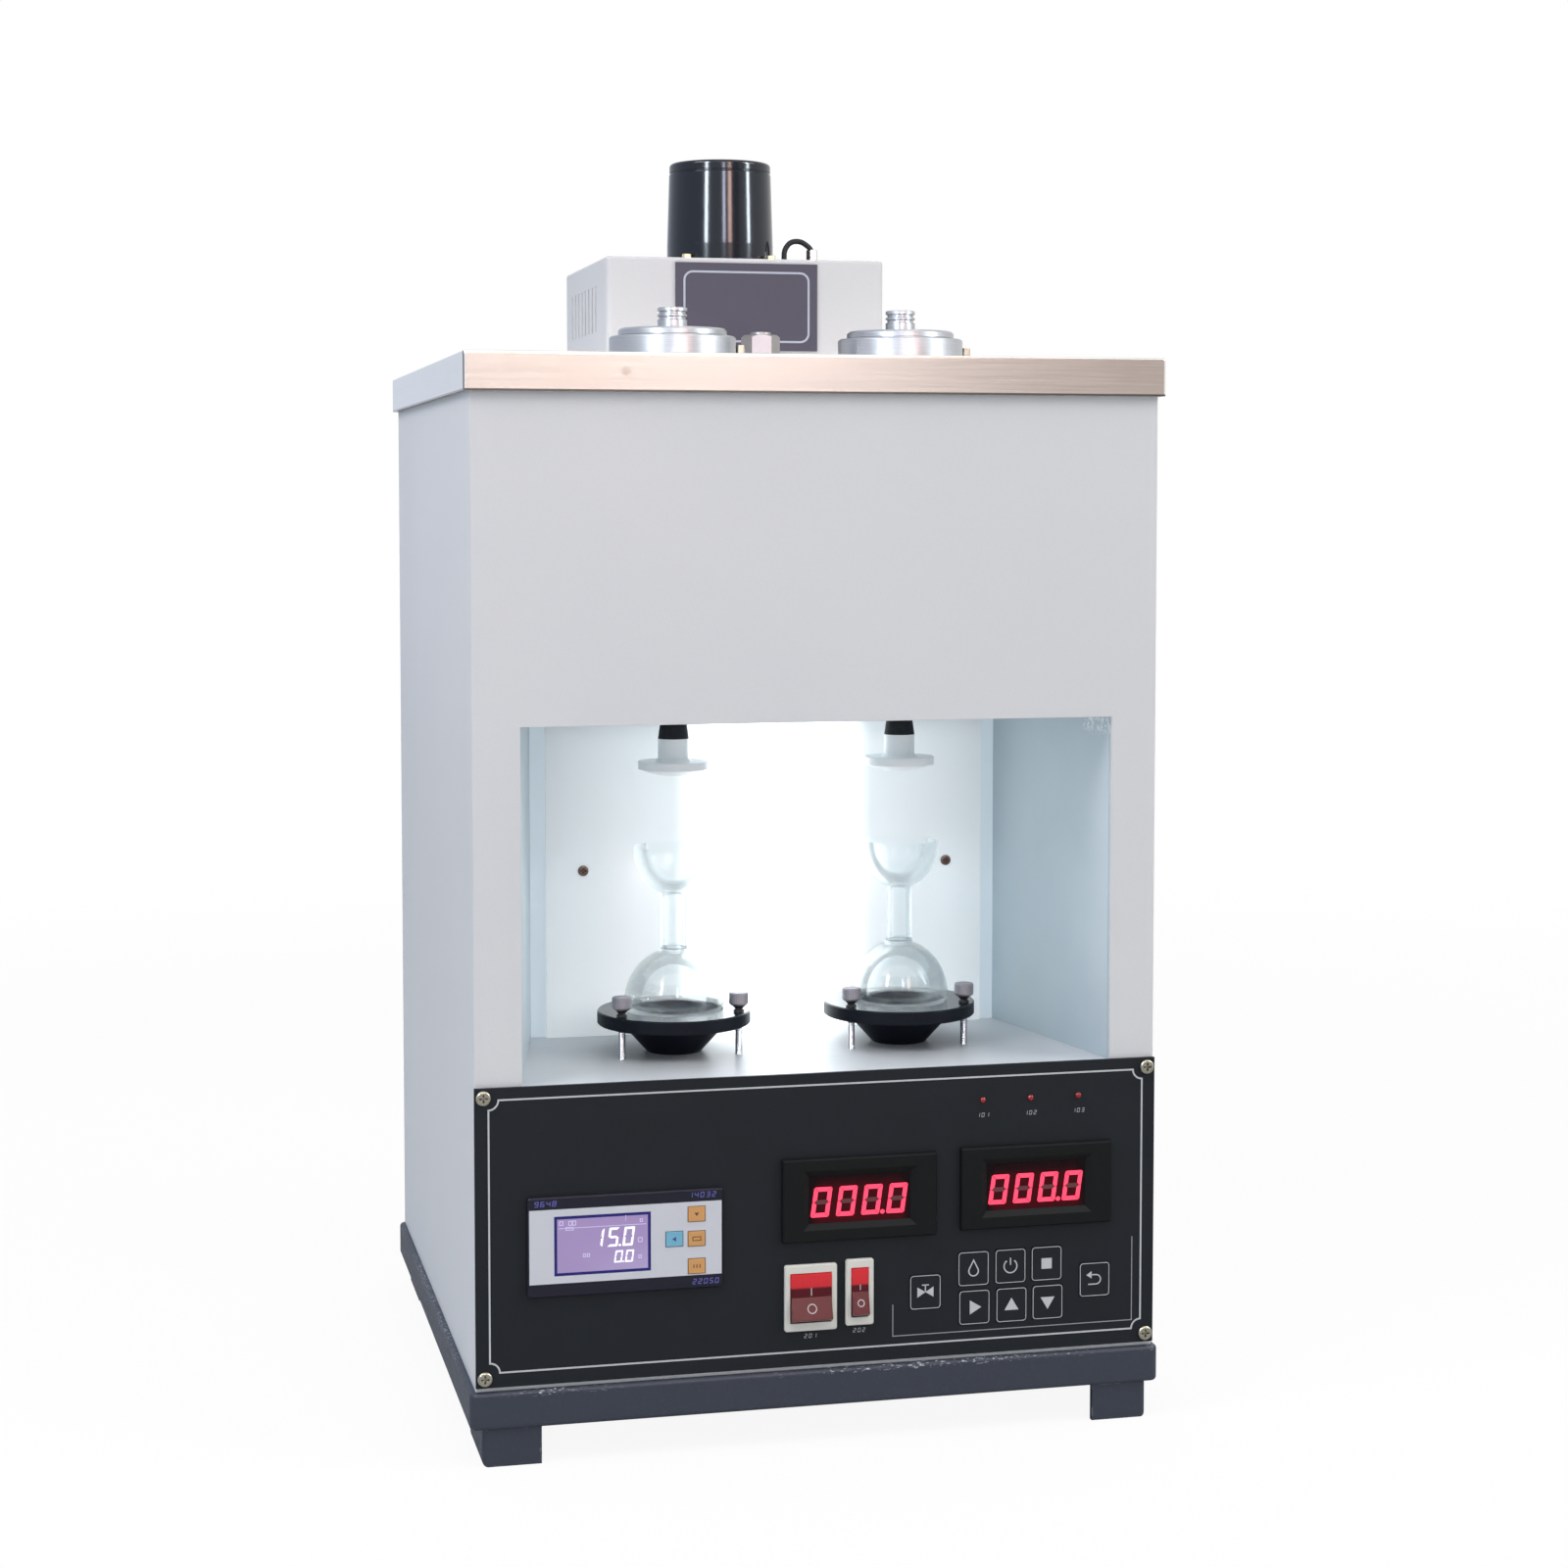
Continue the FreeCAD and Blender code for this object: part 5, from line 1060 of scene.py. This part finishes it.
reading = {
    # text, share across, height up, digit width, height, stroke, pitch
    "big": ("15.0", 0.385, 12.9, 5.2, 9.4, 1.2, 7.5),
    "small": ("0.0", 0.615, 4.9, 3.9, 6.0, 0.85, 5.4),
    "ruleUp": 23.2,
    # share across and up, width and height of small pale marks
    "marks": ((0.055, 0.855, 1.6, 1.7), (0.150, 0.845, 1.5, 2.0), (0.190, 0.845, 1.5, 2.0),
              (0.120, 0.765, 3.6, 1.3), (0.300, 0.300, 1.1, 1.4), (0.340, 0.300, 1.1, 1.4),
              (0.870, 0.500, 1.9, 2.0), (0.875, 0.225, 1.2, 1.4), (0.890, 0.840, 1.1, 1.3)),
    "divider": (0.74, 0.865, 0.965),
}
bandNumbers = (
    # text, left end, centre height, then digit width, height, stroke and pitch
    ("9648", -144.8, 128.4, 2.0, 2.7, 0.42, 2.9),
    ("14032", -68.8, 128.8, 1.9, 2.7, 0.42, 2.9),
    ("22050", -67.0, 85.9, 1.9, 2.7, 0.42, 2.8),
)
keyTicks = {"controller_key_top": "down", "controller_key_middle": "square", "controller_key_low": "bars",
            "controller_key_shift": "left"}


def displayReadings():
    low, high = [Vector(corner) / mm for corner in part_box("controller_display")]
    wide = high.x - low.x
    tall = high.z - low.z
    outlines = []
    for key in ("big", "small"):
        text, share, up, width, height, stroke, pitch = reading[key]
        outlines += number(text, low.x + share * wide, low.z + up, width, height, stroke, pitch)
    frontPlate("displayReading", outlines, low.y, 0.05, digitWhite, "cabinet")
    rule = low.z + reading["ruleUp"]
    outlines = ribbon([(low.x + 2.2, rule), (high.x - 2.2, rule)], 0.35)
    share, start, end = reading["divider"]
    x = low.x + share * wide
    outlines += ribbon([(x, low.z + start * tall), (x, low.z + end * tall)], 0.25)
    for across, up, width, height in reading["marks"]:
        x = low.x + across * wide
        z = low.z + up * tall
        outlines += ribbon([(x, z), (x + width, z), (x + width, z + height), (x, z + height)], 0.42, True)
    frontPlate("displayMarks", outlines, low.y, 0.05, digitPale, "cabinet")


def controllerPrint():
    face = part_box("controller_housing")[0][1] / mm
    outlines = []
    for text, x, z, width, height, stroke, pitch in bandNumbers:
        outlines += number(text, x, z - height / 2, width, height, stroke, pitch)
    frontPlate("bandNumbers", outlines, face, 0.05, violetInk, "cabinet")
    for node, kind in keyTicks.items():
        low, high = [Vector(corner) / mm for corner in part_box(node)]
        x = (low.x + high.x) / 2
        z = (low.z + high.z) / 2
        if kind == "down":
            outlines = [[(x + 1.1, z + 0.7), (x - 1.1, z + 0.7), (x, z - 1.1)]]
        elif kind == "left":
            outlines = [[(x + 0.8, z - 1.2), (x + 0.8, z + 1.2), (x - 1.1, z)]]
        elif kind == "square":
            corners = [(x - 2.0, z - 0.9), (x + 2.0, z - 0.9), (x + 2.0, z + 0.9), (x - 2.0, z + 0.9)]
            outlines = ribbon(corners, 0.4, True)
        else:
            outlines = []
            for i in (-1, 0, 1):
                outlines += ribbon([(x + 1.5 * i, z - 0.9), (x + 1.5 * i, z + 0.9)], 0.5)
        frontPlate(node + "Mark", outlines, low.y, 0.05, shiftInk if kind == "left" else keyInk, node)


displayReadings()
controllerPrint()
print("timers and controller")

# Rockers: clear red plastic, lit above, with I and O marks that follow the dished face

rockerLook = {
    "nose": 5.0, "radius": 12.2, "dish": 1.6, "tilt": 9.0, "lift": 0.08, "stroke": 0.42,
    "dark": (0.085, 0.003, 0.009), "lit": (0.62, 0.028, 0.040), "pivotDepth": 0.5, "split": 7.0,
}


def rockerRed(g):
    place = g.place()
    z = g.axis(place, "Z")
    low, high = [corner[2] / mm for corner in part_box("heater_rocker")]
    split = high - rockerLook["split"]
    # painted light: the upper half is painted a brighter red and made to glow, for light from above on its
    # up-facing slope
    top = g.fade(z, split - 0.7, split + 0.7) * g.fade(z, split - 6, high, 0.75, 1.0)
    streak = g.noise(g.stretched(place, (1.2, 0.2, 0.2)), 1.0, 3)
    tone = g.blend(top, rockerLook["dark"], rockerLook["lit"])
    tone = g.blend(streak * 0.3, tone, (0.14, 0.006, 0.010))
    return principled(g, {"Base Color": tone, "Roughness": 0.20 + streak * 0.08, "Specular IOR Level": 0.22,
                          "Emission Color": g.blend(top, (0.0, 0.0, 0.0), (0.5, 0.02, 0.02)),
                          "Emission Strength": 0.35, "Normal": g.bump(streak, 0.03, 0.35)})


def rockerMark(name, body, outlines):
    # outlines are drawn on the flat of one half, in millimetres from the rocker's middle line
    low, high = [Vector(corner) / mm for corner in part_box(body)]
    look = rockerLook
    pivot = Vector(((low.x + high.x) / 2, panelFace + look["pivotDepth"], rockerPivotZ[body]))
    reach = math.sqrt(look["radius"] ** 2 - look["nose"] ** 2)
    slope = math.atan2(look["dish"], reach)
    shape = bmesh.new()
    for outline in outlines:
        rings = []
        for lift in (look["lift"], -0.05):
            ring = []
            for x, along in outline:
                y = -look["nose"] + look["dish"] * (1 - abs(along) / reach) - lift * math.cos(slope)
                point = Vector((x, y, along))
                point.rotate(Matrix.Rotation(math.radians(-look["tilt"]), 3, "X"))
                ring.append(shape.verts.new((pivot + point) * mm))
            rings.append(ring)
        near, rear = rings
        shape.faces.new(near)
        shape.faces.new(rear[::-1])
        for i in range(len(outline)):
            j = (i + 1) % len(outline)
            shape.faces.new((near[i], rear[i], rear[j], near[j]))
    bmesh.ops.recalc_face_normals(shape, faces=shape.faces)
    mesh = bpy.data.meshes.new(name)
    shape.to_mesh(mesh)
    shape.free()
    return addPiece(name, mesh, ink, body)


rockerPivotZ = {}
for joint in frame["joints"]:
    if joint["name"].endswith("rocker_hinge"):
        rockerPivotZ[joint["child"]] = joint["pos_m"][2] / mm
dress(finish("rockerRed", rockerRed), "heater_rocker", "lamp_rocker")
for body, size in (("heater_rocker", 2.2), ("lamp_rocker", 1.6)):
    stroke = rockerLook["stroke"]
    rockerMark(body + "On", body, ribbon([(0, 0.8), (0, 0.8 + 1.7 * size)], stroke))
    ring = ribbon(circle(0, -5.6, size, 20), stroke, True)
    rockerMark(body + "Off", body, ring)
print("rockers")
